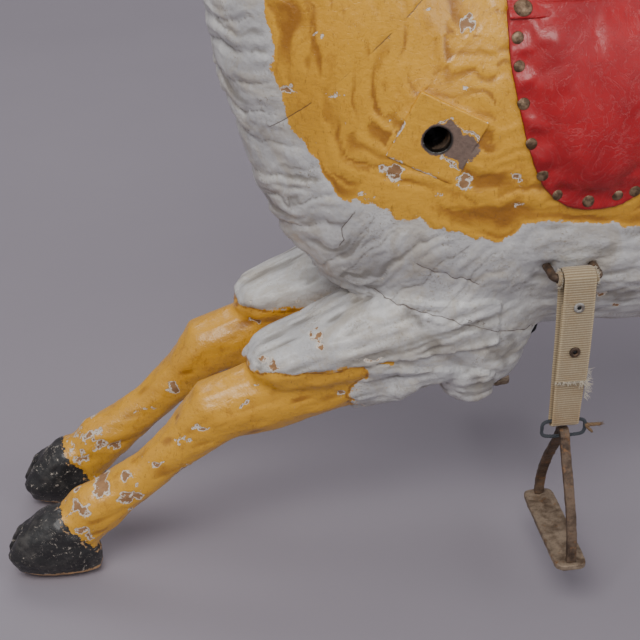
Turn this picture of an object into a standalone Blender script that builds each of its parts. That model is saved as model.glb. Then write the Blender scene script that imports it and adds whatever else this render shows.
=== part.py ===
"""A carved wooden deer for a children's ride, in the leaping pose, standing on its four hooves.

Sizes are in millimetres and become metres when a mesh is made. The deer faces -X, +Z is up, and the
origin is on the floor under the middle of the figure. The left side of the deer is at -Y.

The figure is carved as one shape and then sawn into the blocks it is glued up from: two hollow torso
halves, a neck, a head and four legs. Hardware, saddle, stirrups and straps are fitted afterwards.
"""

import math

import bmesh
import bpy
from mathutils import Matrix, Vector

MM = 0.001
GAP = 0.3  # clearance between two pieces that touch
FAR = 1100.0  # half the side of a block that stands for half of space

# Driving sizes of the figure
LEG_Y = 52.0  # from the middle of the figure to the middle of a front leg
REAR_LEG_Y = 60.0
SHAFT_R = 9.5  # the ride's cross shaft, 19 mm
SLEEVE_R = 13.0
SLEEVE_BORE_R = 10.0
FRONT_SHAFT = (-110.0, 407.0)
REAR_SHAFT = (226.0, 402.0)
WEB_WIDTH = 25.4  # cotton webbing
WEB_THICK = 2.2
HANGER_X = 1.0
HANGER_Z = 293.0
HANGER_Y = 125.0
HANGER_BAR_R = 3.5

# Each ring of the figure: the two ends of its long axis as (x, z), and its half width
TORSO = [
    ((-240, 365), (-240, 400), 18),
    ((-232, 331), (-232, 440), 52),
    ((-210, 291), (-210, 480), 76),
    ((-182, 257), (-182, 508), 92),
    ((-142, 231), (-142, 528), 104),
    ((-80, 211), (-80, 538), 113),
    ((0, 202), (0, 540), 117),
    ((80, 199), (80, 537), 118),
    ((160, 202), (160, 538), 117),
    ((220, 214), (220, 536), 113),
    ((270, 243), (270, 526), 102),
    ((305, 286), (305, 504), 82),
    ((322, 335), (322, 465), 52),
    ((329, 380), (329, 420), 18),
]
CAVITY = [
    ((-101, 380), (-101, 450), 30),
    ((-90, 345), (-90, 480), 66),
    ((-50, 305), (-50, 505), 84),
    ((30, 262), (30, 510), 90),
    ((120, 262), (120, 508), 90),
    ((190, 300), (190, 500), 80),
    ((236, 345), (236, 470), 55),
    ((250, 385), (250, 430), 25),
]
NECK = [
    ((-200, 330), (20, 470), 98),
    ((-243, 372), (-30, 512), 99),
    ((-262, 430), (-72, 545), 93),
    ((-270, 490), (-98, 586), 83),
    ((-273, 555), (-120, 630), 71),
    ((-280, 620), (-148, 680), 60),
    ((-291, 680), (-170, 732), 52),
    ((-304, 735), (-188, 785), 47),
    ((-312, 770), (-203, 828), 44),
]
HEAD = [
    ((-262, 782), (-196, 838), 30),
    ((-275, 768), (-210, 866), 44),
    ((-298, 764), (-246, 882), 50),
    ((-328, 758), (-288, 874), 48),
    ((-360, 748), (-330, 846), 39),
    ((-394, 736), (-368, 812), 30),
    ((-424, 724), (-402, 788), 26),
    ((-444, 722), (-426, 772), 21),
    ((-452, 732), (-441, 760), 12),
]
FRONT_LEG = [
    ((-383, 30), (-415, 62), 20),
    ((-368, 44), (-400, 82), 22),
    ((-347, 64), (-374, 94), 20),
    ((-322, 85), (-345, 112), 18),
    ((-291, 109), (-316, 142), 21),
    ((-262, 129), (-294, 176), 26),
    ((-222, 133), (-250, 192), 27),
    ((-178, 148), (-195, 214), 30),
    ((-135, 163), (-145, 238), 36),
    ((-92, 182), (-95, 270), 42),
    ((-50, 195), (-55, 285), 40),
]
FEATHER = [  # the white hair that lies over the upper foreleg
    ((-239, 181), (-252, 197), 18),
    ((-225, 176), (-240, 212), 31),
    ((-188, 177), (-200, 230), 37),
    ((-145, 186), (-155, 254), 42),
    ((-95, 188), (-105, 285), 47),
    ((-50, 200), (-60, 300), 44),
]
ELBOW_HAIR = [
    ((-164, 150), (-159, 160), 12),
    ((-135, 157), (-128, 205), 36),
    ((-95, 174), (-85, 250), 43),
    ((-60, 190), (-50, 270), 40),
]
ELBOW = [
    ((-82, 157), (-56, 156), 18),
    ((-88, 166), (-44, 167), 28),
    ((-94, 186), (-26, 188), 36),
    ((-98, 212), (-14, 212), 41),
    ((-104, 255), (-10, 255), 42),
]
FRONT_HOOF = [
    ((-438, 0), (-386, 0), 9.5),
    ((-454, 8), (-379, 6), 18),
    ((-462.7, 24), (-379, 18), 24),
    ((-452, 44), (-381, 30), 23),
    ((-428, 62), (-388, 42), 21),
    ((-408, 68), (-392, 54), 14),
]
REAR_LEG = [
    ((130, 270), (300, 470), 50),
    ((180, 225), (328, 400), 52),
    ((240, 196), (348, 318), 45),
    ((298, 186), (372, 262), 35),
    ((345, 172), (410, 228), 27),
    ((374, 136), (420, 166), 21),
    ((394, 100), (431, 120), 18),
    ((411, 68), (454, 84), 21),
    ((410, 44), (454, 52), 19),
]
REAR_HOOF = [
    ((390, 0), (446, 0), 19),
    ((380, 8), (459, 8), 24),
    ((380, 24), (462, 26), 25),
    ((394, 44), (460, 46), 24),
    ((410, 62), (452, 62), 19),
]
TAIL = [
    ((322, 418), (316, 446), 10),
    ((334, 424), (326, 462), 17),
    ((352, 436), (338, 482), 20),
    ((372, 452), (354, 500), 18),
    ((388, 478), (372, 512), 13),
    ((396, 504), (388, 518), 5),
]
EAR = [
    ((-228, 864), (-214, 852), 6),
    ((-228, 882), (-200, 862), 10),
    ((-220, 906), (-184, 880), 9),
    ((-202, 924), (-172, 902), 6),
    ((-182, 932), (-168, 922), 2.5),
]

COLOURS = {
    "ochre_paint": ((0.62, 0.33, 0.03), 0.35, 0.0),
    "white_paint": ((0.66, 0.65, 0.62), 0.55, 0.0),
    "bare_wood": ((0.42, 0.26, 0.13), 0.7, 0.0),
    "antler_paint": ((0.30, 0.20, 0.11), 0.6, 0.0),
    "eye_glass": ((0.02, 0.012, 0.01), 0.05, 0.0),
    "rusty_steel": ((0.20, 0.15, 0.11), 0.7, 0.8),
    "black_steel": ((0.02, 0.02, 0.022), 0.5, 0.6),
    "bright_steel": ((0.45, 0.44, 0.42), 0.4, 1.0),
    "red_leather": ((0.50, 0.02, 0.02), 0.4, 0.0),
    "nail_brass": ((0.28, 0.22, 0.17), 0.4, 0.9),
    "webbing": ((0.62, 0.50, 0.30), 0.9, 0.0),
    "twine": ((0.10, 0.11, 0.11), 0.9, 0.0),
}


# ---------------------------------------------------------------- meshes


def material(slot):
    found = bpy.data.materials.get(slot)
    if found:
        return found
    colour, roughness, metallic = COLOURS[slot]
    made = bpy.data.materials.new(slot)
    made.use_nodes = True
    shader = made.node_tree.nodes["Principled BSDF"]
    shader.inputs["Base Color"].default_value = (*colour, 1.0)
    shader.inputs["Roughness"].default_value = roughness
    shader.inputs["Metallic"].default_value = metallic
    return made


def finish_object(name, bm, slot=None, smooth=True):
    """An object from a bmesh in millimetres."""
    bmesh.ops.recalc_face_normals(bm, faces=bm.faces)
    bmesh.ops.scale(bm, vec=(MM, MM, MM), verts=bm.verts)
    mesh = bpy.data.meshes.new(name)
    bm.to_mesh(mesh)
    bm.free()
    made = bpy.data.objects.new(name, mesh)
    bpy.context.scene.collection.objects.link(made)
    if slot:
        dress(made, slot, smooth)
    return made


def dress(thing, slot, smooth=True):
    thing.data.materials.clear()
    thing.data.materials.append(material(slot))
    if smooth:
        thing.data.shade_smooth()
        thing.data.set_sharp_from_angle(angle=math.radians(40))
    return thing


def combine(target, tool, operation):
    """Applies one exact Boolean to target."""
    modifier = target.modifiers.new(operation, "BOOLEAN")
    modifier.operation = operation
    modifier.object = tool
    bpy.context.view_layer.update()
    graph = bpy.context.evaluated_depsgraph_get()
    cut = bpy.data.meshes.new_from_object(target.evaluated_get(graph))
    target.modifiers.clear()
    target.data = cut
    bpy.data.objects.remove(tool)
    return target


def copy_of(thing, name):
    made = thing.copy()
    made.data = thing.data.copy()
    made.name = name
    bpy.context.scene.collection.objects.link(made)
    return made


def catmull(before, start, end, after, t):
    """A point on the smooth curve from start to end."""
    return 0.5 * (
        2 * start
        + (end - before) * t
        + (2 * before - 5 * start + 4 * end - after) * t * t
        + (3 * start - before - 3 * end + after) * t ** 3
    )


def smooth_rows(rows, steps):
    """Rows of numbers with steps smooth ones in each interval."""
    flat = [Vector((*low, *high, half)) for low, high, half in rows]
    padded = [flat[0], *flat, flat[-1]]
    found = []
    for i in range(len(flat) - 1):
        for k in range(steps):
            found.append(catmull(*padded[i : i + 4], k / steps))
    found.append(flat[-1])
    return found


def loft(name, rows, y=0.0, sides=16, steps=2, power=2.2, grow=0.0):
    """A closed body through rings. grow moves every ring outwards."""
    bm = bmesh.new()
    rings = []
    rows = smooth_rows(rows, steps)
    if grow:
        rows[0] = rows[0] + (rows[0] - rows[1]).normalized() * grow * 1.5
        rows[-1] = rows[-1] + (rows[-1] - rows[-2]).normalized() * grow * 1.5
    for low_x, low_z, high_x, high_z, half in rows:
        low, high = Vector((low_x, 0, low_z)), Vector((high_x, 0, high_z))
        along = (high - low).normalized()
        middle, reach = (low + high) / 2, (high - low).length / 2 + grow
        wide = abs(half) + grow
        ring = []
        for k in range(sides):
            turn = 2 * math.pi * k / sides
            c, s = math.cos(turn), math.sin(turn)
            up = math.copysign(abs(c) ** (2 / power), c) * reach
            out = math.copysign(abs(s) ** (2 / power), s) * wide
            ring.append(bm.verts.new(middle + along * up + Vector((0, y + out, 0))))
        rings.append(ring)
    for first, second in zip(rings, rings[1:]):
        for k in range(sides):
            n = (k + 1) % sides
            bm.faces.new((first[k], first[n], second[n], second[k]))
    bm.faces.new(rings[0])
    bm.faces.new(rings[-1])
    return finish_object(name, bm)


def turned(name, profile, centre, axis, sides=24, slot=None):
    """A body turned about axis from (distance along it, radius) points.

    A zero radius closes on the axis.
    """
    bm = bmesh.new()
    axis = Vector(axis).normalized()
    side = axis.orthogonal().normalized()
    other = axis.cross(side)
    rings = []
    for along, radius in profile:
        base = Vector(centre) + axis * along
        if radius == 0:
            rings.append([bm.verts.new(base)])
            continue
        turns = [2 * math.pi * k / sides for k in range(sides)]
        rings.append(
            [bm.verts.new(base + (side * math.cos(t) + other * math.sin(t)) * radius) for t in turns]
        )
    closed_ring = profile[0] == profile[-1]
    if closed_ring:
        for v in rings.pop():
            bm.verts.remove(v)
    pairs = list(zip(rings, rings[1:]))
    if closed_ring:
        pairs.append((rings[-1], rings[0]))
    for first, second in pairs:
        for k in range(sides):
            n = (k + 1) % sides
            if len(first) == 1:
                bm.faces.new((first[0], second[n], second[k]))
            elif len(second) == 1:
                bm.faces.new((first[k], first[n], second[0]))
            else:
                bm.faces.new((first[k], first[n], second[n], second[k]))
    if not closed_ring:
        for ring in (rings[0], rings[-1]):
            if len(ring) > 1:
                bm.faces.new(ring)
    return finish_object(name, bm, slot)


def rod(name, start, end, radius, sides=20, slot=None):
    start, end = Vector(start), Vector(end)
    length = (end - start).length
    return turned(name, [(0, radius), (length, radius)], start, end - start, sides, slot)


def prism(name, outline, depth_from, depth_to, to_space, slot=None, smooth=True):
    """A flat outline given thickness. to_space turns (u, v, depth) into x, y, z."""
    bm = bmesh.new()
    rings = [
        [bm.verts.new(Vector(to_space(u, v, d))) for u, v in outline] for d in (depth_from, depth_to)
    ]
    count = len(outline)
    for k in range(count):
        n = (k + 1) % count
        bm.faces.new((rings[0][k], rings[0][n], rings[1][n], rings[1][k]))
    bm.faces.new(rings[0])
    bm.faces.new(rings[1])
    return finish_object(name, bm, slot, smooth)


def along_y(u, v, depth):
    return u, depth, v


def along_x(u, v, depth):
    return depth, u, v


def along_z(u, v, depth):
    return u, v, depth


def half_space(point, normal):
    """A huge block on the side of the plane that normal points to."""
    bm = bmesh.new()
    bmesh.ops.create_cube(bm, size=2 * FAR)
    turn = Vector((0, 0, 1)).rotation_difference(Vector(normal).normalized())
    centre = Vector(point) + Vector(normal).normalized() * FAR
    bmesh.ops.transform(bm, matrix=Matrix.Translation(centre) @ turn.to_matrix().to_4x4(), verts=bm.verts)
    return finish_object("half_space", bm)


def box(name, low, high, slot=None):
    (x0, y0, z0), (x1, y1, z1) = low, high
    outline = [(x0, z0), (x1, z0), (x1, z1), (x0, z1)]
    return prism(name, outline, y0, y1, along_y, slot, smooth=False)


def arc(cx, cz, radius, start, end, steps):
    """Points on an arc, with angles in degrees."""
    turns = [math.radians(start + (end - start) * k / steps) for k in range(steps + 1)]
    return [(cx + radius * math.cos(t), cz + radius * math.sin(t)) for t in turns]


def sided(side, side_name):
    """A name such as left_front_leg."""
    return f"{'left' if side < 0 else 'right'}_{side_name}"


# ---------------------------------------------------------------- carving


def hoof(rows, y):
    """A cloven hoof: the cleft runs in from the toe."""
    shape = loft("hoof", rows, y=y, sides=14, steps=1, power=2.6)
    toe_x = rows[2][0][0]
    outline = [(toe_x - 12, y - 5), (toe_x + 34, y), (toe_x - 12, y + 5)]
    cleft = prism("cleft", outline, -5, 64, along_z)
    return combine(shape, cleft, "DIFFERENCE")


def tucked(rows, side):
    """The right foreleg is drawn back a little further than the left one."""
    if side < 0:
        return rows

    def back(point):
        x, z = point
        return x + max(-240 - x, 0) * 0.053, z

    return [(back(low), back(high), half) for low, high, half in rows]


def carve_front_leg(side):
    y = side * LEG_Y
    leg = loft("leg", tucked(FRONT_LEG, side), y=y, sides=12, steps=1)
    combine(leg, loft("feather", FEATHER, y=y + side * 1.5, sides=12, steps=1, power=2.8), "UNION")
    combine(leg, loft("elbow_hair", ELBOW_HAIR, y=y + side * 1.0, sides=12, steps=1), "UNION")
    combine(leg, loft("elbow", ELBOW, y=y + side * 4.0, sides=14, steps=1, power=2.6), "UNION")
    return combine(leg, hoof(tucked(FRONT_HOOF, side), y), "UNION")


def carve_rear_leg(side):
    y = side * REAR_LEG_Y
    leg = loft("leg", REAR_LEG, y=y, sides=14, steps=1)
    return combine(leg, hoof(REAR_HOOF, y), "UNION")


def carving():
    """The whole figure as one body."""
    figure = loft("figure", TORSO, sides=26, steps=1, power=2.35)
    combine(figure, loft("neck", NECK, sides=20, steps=1, power=2.2), "UNION")
    combine(figure, loft("head", HEAD, sides=16, steps=1, power=2.3), "UNION")
    for side in (-1, 1):
        combine(figure, carve_front_leg(side), "UNION")
        combine(figure, carve_rear_leg(side), "UNION")
    return figure


HEAD_JOINT = ((-300, 764), (-62, 92))  # a glue line as a point and the normal into the named block
NECK_JOINT = ((-240, 396), (-160, 175))
FRONT_LEG_JOINT = ((-140, 271), (-0.343, -0.939))
FRONT_LEG_BACK_X = -6.5
REAR_LEG_JOINT = ((140, 216), (0.41, -0.912))
REAR_LEG_FRONT_X = 112.0


def beyond(joint, shift):
    """The outline, seen from the side, of everything past a glue line moved by shift."""
    point, normal = Vector(joint[0]), Vector(joint[1]).normalized()
    along = Vector((-normal.y, normal.x)) * FAR
    base = point + normal * shift
    return [base - along, base + along, base + along + normal * FAR, base - along + normal * FAR]


def leg_zone(joint, upright_x, towards, shift):
    """The outline of a leg block: below its glue line and on one side of an upright one."""
    point, normal = Vector(joint[0]), Vector(joint[1]).normalized()
    base = point + normal * shift
    edge_x = upright_x + towards * shift
    slope = -normal.x / normal.y
    corner = (edge_x, base.y + (edge_x - base.x) * slope)
    far_x = edge_x + towards * 600
    return [corner, (far_x, base.y + (far_x - base.x) * slope), (far_x, -50), (edge_x, -50)]


def zones(shift):
    """Every zone that is sawn off the torso, by block."""
    return {
        "neck_block": beyond(NECK_JOINT, shift),
        "front_leg": leg_zone(FRONT_LEG_JOINT, FRONT_LEG_BACK_X, -1, shift),
        "rear_leg": leg_zone(REAR_LEG_JOINT, REAR_LEG_FRONT_X, 1, shift),
    }


def keep_zone(figure, name, outline, y_from, y_to):
    made = copy_of(figure, name)
    combine(made, prism("zone", outline, y_from, y_to, along_y), "INTERSECT")
    return made


def saw_blocks(figure):
    """The glued-up blocks, by name."""
    blocks = {}
    half_gap = GAP / 2
    inside = zones(half_gap)
    upper = keep_zone(figure, "neck_block", inside["neck_block"], -400, 400)
    blocks["head_block"] = keep_zone(upper, "head_block", beyond(HEAD_JOINT, half_gap), -300, 300)
    combine(upper, prism("above", beyond(HEAD_JOINT, -half_gap), -300, 300, along_y), "DIFFERENCE")
    blocks["neck_block"] = upper
    torso = copy_of(figure, "torso")
    for outline in zones(-half_gap).values():
        combine(torso, prism("zone", outline, -400, 400, along_y), "DIFFERENCE")
    combine(torso, loft("cavity", CAVITY, sides=20, steps=1, power=2.6), "DIFFERENCE")
    everything = [(-700, -60), (700, -60), (700, 1200), (-700, 1200)]
    for side in (-1, 1):
        near, far = side * half_gap, side * 400
        for label in ("front_leg", "rear_leg"):
            name = sided(side, label)
            blocks[name] = keep_zone(figure, name, inside[label], near, far)
        name = sided(side, "torso_half")
        blocks[name] = keep_zone(torso, name, everything, near, far)
    bpy.data.objects.remove(torso)
    return blocks


def drill(blocks, names, make_cutter):
    for name in names:
        combine(blocks[name], make_cutter(), "DIFFERENCE")


# ---------------------------------------------------------------- joinery and hardware


def fit_dowel(blocks, names, name, start, end, radius):
    axis = (Vector(end) - Vector(start)).normalized()
    drill(
        blocks,
        names,
        lambda: rod("hole", Vector(start) - axis * 2, Vector(end) + axis * 2, radius + GAP, 16),
    )
    rod(name, start, end, radius, 14, "bare_wood")


def joinery(blocks):
    """The hidden dowels across every glue line."""
    halves = ["left_torso_half", "right_torso_half"]
    for side in (-1, 1):
        own_half = sided(side, "torso_half")
        y = side * 50
        runs = {
            "front_leg": ((-80.7, y, 176), (-58.7, y, 322), "front_leg", 9.0),
            "rear_leg": ((246, y, 236), (186, y, 352), "rear_leg", 9.0),
            "neck": ((-128, y, 456), (-196, y, 530), "neck_block", 8.0),
        }
        for label, (start, end, block, radius) in runs.items():
            other = block if block in blocks else sided(side, block)
            fit_dowel(blocks, [own_half, other], sided(side, f"{label}_dowel"), start, end, radius)
        start, end = (-246, side * 18, 762), (-270, side * 18, 822)
        fit_dowel(blocks, ["head_block", "neck_block"], sided(side, "head_dowel"), start, end, 6.0)
    dowels = {"chest_dowel": (-160, 330), "back_dowel": (60, 524), "rump_dowel": (285, 420)}
    for name, (x, z) in dowels.items():
        fit_dowel(blocks, halves, name, (x, -32, z), (x, 32, z), 6.0)


def surface_y(x, z, grow=0.0):
    """Half width of the torso at a height, from its rings."""
    rows = smooth_rows(TORSO, 1)
    for first, second in zip(rows, rows[1:]):
        if first[0] <= x <= second[0]:
            t = (x - first[0]) / max(second[0] - first[0], 1e-6)
            low, high, half = (first[k] + (second[k] - first[k]) * t for k in (1, 3, 4))
            share = abs(z - (low + high) / 2) / ((high - low) / 2 + grow)
            return (half + grow) * max(1 - share ** 2.35, 0) ** (1 / 2.35)
    raise ValueError("x is outside the torso")


PLATE = 56.0
PLATE_THICK = 5.0
PLATE_TURN = math.radians(-26)


def square_outline(x, z, side, turn):
    corner = side / math.sqrt(2)
    turns = [turn + (k + 0.5) * math.pi / 2 for k in range(4)]
    return [(x + corner * math.cos(t), z + corner * math.sin(t)) for t in turns]


def shaft_fittings(blocks):
    """Steel plates on both flanks, with a sleeve between them for the ride's cross shaft."""
    halves = ["left_torso_half", "right_torso_half"]
    for label, (x, z) in (("front", FRONT_SHAFT), ("rear", REAR_SHAFT)):
        slope = (surface_y(x + 20, z) - surface_y(x - 20, z)) / 40
        face = surface_y(x, z) + 0.8
        for side in (-1, 1):

            def on_flank(u, v, depth, side=side):
                return u, side * (face + slope * (u - x) - depth), v

            outline = square_outline(x, z, PLATE + 2 * GAP, PLATE_TURN)
            depth = PLATE_THICK + GAP
            drill(blocks, [sided(side, "torso_half")], lambda: prism("pocket", outline, -20, depth, on_flank))
            plate = prism("plate", square_outline(x, z, PLATE, PLATE_TURN), 0, PLATE_THICK, on_flank)
            hole = rod("hole", (x, side * (face + 20), z), (x, side * (face - 20), z), SLEEVE_BORE_R, 24)
            combine(plate, hole, "DIFFERENCE")
            plate.name = sided(side, f"{label}_shaft_plate")
            dress(plate, "ochre_paint", smooth=False)
        reach = face - PLATE_THICK - GAP - abs(slope) * SLEEVE_R
        bore = SLEEVE_R + GAP
        drill(blocks, halves, lambda: rod("bore", (x, -reach - 8, z), (x, reach + 8, z), bore, 24))
        wall = [(-reach, SLEEVE_BORE_R), (-reach, SLEEVE_R), (reach, SLEEVE_R), (reach, SLEEVE_BORE_R)]
        turned(f"{label}_shaft_sleeve", [*wall, wall[0]], (x, 0, z), (0, 1, 0), 24, "rusty_steel")


BRACKET_X = (-46.0, 8.0)
BRACKET_BASE_Z = 206.0


def belly_bracket(blocks):
    """A black steel lug under the breast, where the ride's push rod was pinned."""
    x0, x1 = BRACKET_X
    y = 27.0
    low, high = (x0 - 1, -y - 1, BRACKET_BASE_Z - 60), (x1 + 1, y + 1, BRACKET_BASE_Z + GAP)
    seated = [n for n in blocks if "front_leg" in n or "torso" in n]
    drill(blocks, seated, lambda: box("seat", low, high))
    lug = box("belly_bracket", (x0, -y, BRACKET_BASE_Z - 5), (x1, y, BRACKET_BASE_Z))
    pin_x, foot = (x0 + x1) / 2, BRACKET_BASE_Z - 27
    left_foot = arc(x0 + 16, foot + 12, 12, 180, 270, 4)
    right_foot = arc(x1 - 8, foot + 8, 8, 270, 360, 4)
    outline = [(x0 + 4, BRACKET_BASE_Z - 4), *left_foot, *right_foot, (x1, BRACKET_BASE_Z - 4)]
    for cheek in (-12, 12):
        combine(lug, prism("ear", outline, cheek - 2.5, cheek + 2.5, along_y), "UNION")
    combine(lug, rod("pin_hole", (pin_x, -30, foot + 10), (pin_x, 30, foot + 10), 5.0, 18), "DIFFERENCE")
    for side in (-1, 1):
        at = (-30.0, side * 20.5, BRACKET_BASE_Z - 5)
        low, high = (at[0], at[1], at[2] - 12), (at[0], at[1], at[2] + 37)
        combine(lug, rod("hole", low, high, 2.6, 12), "DIFFERENCE")
        own = [sided(side, "front_leg"), sided(side, "torso_half")]
        drill(blocks, own, lambda: rod("hole", low, high, 2.6, 12))
        profile = [(-3.2, 0), (-2.6, 2.6), (-GAP, 4.2), (-GAP, 2.2), (28, 2.2), (32, 0)]
        turned(sided(side, "bracket_screw"), profile, at, (0, 0, 1), 12, "black_steel")
    dress(lug, "black_steel", smooth=False)


# ---------------------------------------------------------------- head fittings


def antler(side):
    """A beam that curves up and back, with two tines."""
    points = [(-254, 24, 872), (-246, 34, 906), (-226, 50, 938), (-198, 58, 968), (-178, 56, 1000)]
    radii = [8.5, 8.0, 7.0, 5.6, 2.4]
    beam = bent_tube("beam", [Vector((x, side * y, z)) for x, y, z in points], radii)
    tines = (
        ([(-248, 31, 894), (-266, 38, 918), (-280, 40, 944)], [6.0, 4.8, 1.8]),
        ([(-214, 54, 950), (-226, 64, 976), (-230, 66, 1000)], [5.4, 4.2, 1.6]),
    )
    for tine_points, tine_radii in tines:
        tine = bent_tube("tine", [Vector((x, side * y, z)) for x, y, z in tine_points], tine_radii)
        combine(beam, tine, "UNION")
    beam.name = sided(side, "antler")
    return dress(beam, "antler_paint")


def bent_tube(name, points, radii, sides=8, steps=2, grow=0.0):
    """A tapering round body along a smooth curve through points."""
    rows = [Vector((*p, r)) for p, r in zip(points, radii)]
    padded = [rows[0], *rows, rows[-1]]
    stations = [
        catmull(*padded[i : i + 4], k / steps) for i in range(len(rows) - 1) for k in range(steps)
    ]
    stations.append(rows[-1])
    bm = bmesh.new()
    rings = []
    side = None
    for i, row in enumerate(stations):
        before, after = stations[max(i - 1, 0)], stations[min(i + 1, len(stations) - 1)]
        along = (after.xyz - before.xyz).normalized()
        side = along.orthogonal() if side is None else side - along * side.dot(along)
        side.normalize()
        other = along.cross(side)
        ring = []
        for k in range(sides):
            turn = 2 * math.pi * k / sides
            out = side * math.cos(turn) + other * math.sin(turn)
            ring.append(bm.verts.new(row.xyz + out * (row.w + grow)))
        rings.append(ring)
    for first, second in zip(rings, rings[1:]):
        for k in range(sides):
            n = (k + 1) % sides
            bm.faces.new((first[k], first[n], second[n], second[k]))
    bm.faces.new(rings[0])
    bm.faces.new(rings[-1])
    return finish_object(name, bm)


def ear(side, name, grow):
    """A leaf-shaped ear that leans outwards."""
    leaf = loft(name, EAR, sides=12, steps=2, power=2.0, grow=grow)
    lean = Matrix.Rotation(side * math.radians(-38), 4, "X")
    shift = Matrix.Translation(Vector((0, side * 22, 0)) * MM)
    pivot = Matrix.Translation(Vector((0, 0, 856)) * MM)
    leaf.data.transform(shift @ pivot @ lean @ pivot.inverted())
    return leaf


def head_fittings(blocks):
    for side in (-1, 1):
        root = Vector((-256, side * 24, 890))
        tip = root + Vector((4, side * 2, -34))
        drill(blocks, ["head_block"], lambda: rod("socket", root, tip, 10.0, 14))
        antler(side)
        combine(blocks["head_block"], ear(side, "ear_socket", 2 * GAP), "DIFFERENCE")
        dress(ear(side, sided(side, "ear"), 0.0), "ochre_paint")
        eye_at = Vector((-306, side * 40, 838))
        drill(blocks, ["head_block"], lambda: ball("socket", eye_at, 10.0 + GAP))
        ball(sided(side, "eye"), eye_at, 10.0, "eye_glass")


def ball(name, centre, radius, slot=None):
    bm = bmesh.new()
    bmesh.ops.create_uvsphere(bm, u_segments=12, v_segments=8, radius=radius)
    bmesh.ops.translate(bm, vec=Vector(centre), verts=bm.verts)
    return finish_object(name, bm, slot)


def tail(blocks):
    halves = ["left_torso_half", "right_torso_half"]
    brush = loft("tail", TAIL, sides=14, steps=2)
    peg_start, peg_end = Vector((340, 0, 446)), Vector((286, 0, 452))
    combine(brush, rod("peg", peg_start, peg_end, 8.0, 14), "UNION")
    drill(blocks, halves, lambda: rod("hole", peg_start, peg_end + Vector((-2, 0, 0)), 8.0 + GAP, 14))
    drill(blocks, halves, lambda: loft("tail_seat", TAIL, sides=14, steps=2, grow=GAP))
    dress(brush, "white_paint")


# ---------------------------------------------------------------- saddle


FLAP_TOP_Z = 488.0
FLAP_PAD = 13.0
SKIRT_THICK = 3.0
SADDLE_X = 12.0  # the middle of the flaps


def flap_outline():
    """The side flap from its straight top to its round foot."""
    front = [(-57, 540), (-57, 485), (-55, 458), (-49, 428), (-42, 402)]
    foot = arc(SADDLE_X, 395, 48, 195, 345, 10)
    rear = [(2 * SADDLE_X - x, z) for x, z in front[::-1]]
    return front + foot + rear


def shell(name, grow_in, grow_out, outline, y_from, y_to, sides=26):
    """A layer over the torso, cut to an outline seen from the side."""
    layer = loft(name, TORSO, sides=sides, steps=1, power=2.35, grow=grow_out)
    combine(layer, loft("inner", TORSO, sides=26, steps=1, power=2.35, grow=grow_in), "DIFFERENCE")
    combine(layer, prism("outline", outline, y_from, y_to, along_y), "INTERSECT")
    return layer


def saddle():
    flap = flap_outline()
    for side in (-1, 1):
        made = shell(sided(side, "saddle_flap"), GAP, FLAP_PAD, flap, side * 20, side * 200)
        combine(made, half_space((0, 0, FLAP_TOP_Z - GAP), (0, 0, -1)), "INTERSECT")
        dress(made, "red_leather")
    skirt_outline = [(-57, FLAP_TOP_Z), (81, FLAP_TOP_Z), (85, 600), (-61, 600)]
    skirt = shell("saddle_skirt", GAP, SKIRT_THICK + 5, skirt_outline, -200, 200)
    combine(skirt, loft("neck", NECK, sides=20, steps=1, power=2.2, grow=2 * GAP), "DIFFERENCE")
    dress(skirt, "red_leather")
    seat()


SEAT_ROWS = [  # the cushion along the back: bottom, top and half width
    ((-60, 549), (-60, 574), 34),
    ((-52, 549), (-52, 590), 46),
    ((-32, 549), (-32, 586), 58),
    ((0, 549), (0, 575), 66),
    ((38, 549), (38, 575), 70),
    ((66, 549), (66, 588), 70),
    ((84, 549), (84, 603), 62),
    ((94, 549), (94, 596), 44),
]


def seat():
    """A wooden seat board on the skirt, and the stuffed leather seat nailed over it."""
    grown = SKIRT_THICK + 5 + GAP
    rows = [((x, z - 60), (x, z + 12), half) for (x, z), _, half in SEAT_ROWS]
    board = loft("seat_board", rows, sides=20, steps=1, power=5)
    back = loft("back", TORSO, sides=26, steps=1, power=2.35, grow=grown)
    combine(board, back, "DIFFERENCE")
    combine(board, half_space((0, 0, 556), (0, 0, -1)), "INTERSECT")
    combine(board, half_space((0, 0, 505), (0, 0, 1)), "INTERSECT")
    dress(board, "bare_wood", smooth=False)
    cushion = loft("saddle_seat", SEAT_ROWS, sides=24, steps=2, power=3.0, grow=4)
    combine(cushion, half_space((0, 0, 556 + GAP), (0, 0, 1)), "INTERSECT")
    dress(cushion, "red_leather")


def big_nails():
    """The four large domed nails that hold the corners of the skirt."""
    names = ("front_skirt_nail", "rear_skirt_nail")
    for side in (-1, 1):
        for label, x in zip(names, (-47.0, 71.0)):
            z = FLAP_TOP_Z + 9.5
            grow = SKIRT_THICK + 5
            y = surface_y(x, z, grow)
            slope = (surface_y(x, z + 4, grow) - surface_y(x, z - 4, grow)) / 8
            outward = Vector((0, side, -side * side * slope)).normalized()
            at = Vector((x, side * y, z)) + outward * GAP * 2
            profile = [(0, 7.2), (1.4, 6.8), (2.9, 5.0), (3.8, 2.5), (4.2, 0)]
            turned(sided(side, label), profile, at, outward, 16, "nail_brass")


# ---------------------------------------------------------------- stirrups


STRAP_FOLD_Z = 163.0  # inside of the strap's lower fold
STRAP_END_Z = 204.0
STRAP_INNER_TOP_Z = 277.0
ROLL_R = 5.6  # inside radius of the strap's upper fold
FOLD_R = 3.2
TIE_R = 1.7
TIE_HALF = (18.0, 7.5)
TIE_TOP_Z = STRAP_FOLD_Z - FOLD_R + TIE_R + 2 * GAP  # the run that lies in the strap's fold
STIRRUP_TOP_Z = 150.8
TREAD_Z = 55.0
TREAD_LONG = 108.0
TREAD_WIDE = 26.0
RIGHT_TAKE_UP = 24.0  # the right strap is folded this much higher than the left one


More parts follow.
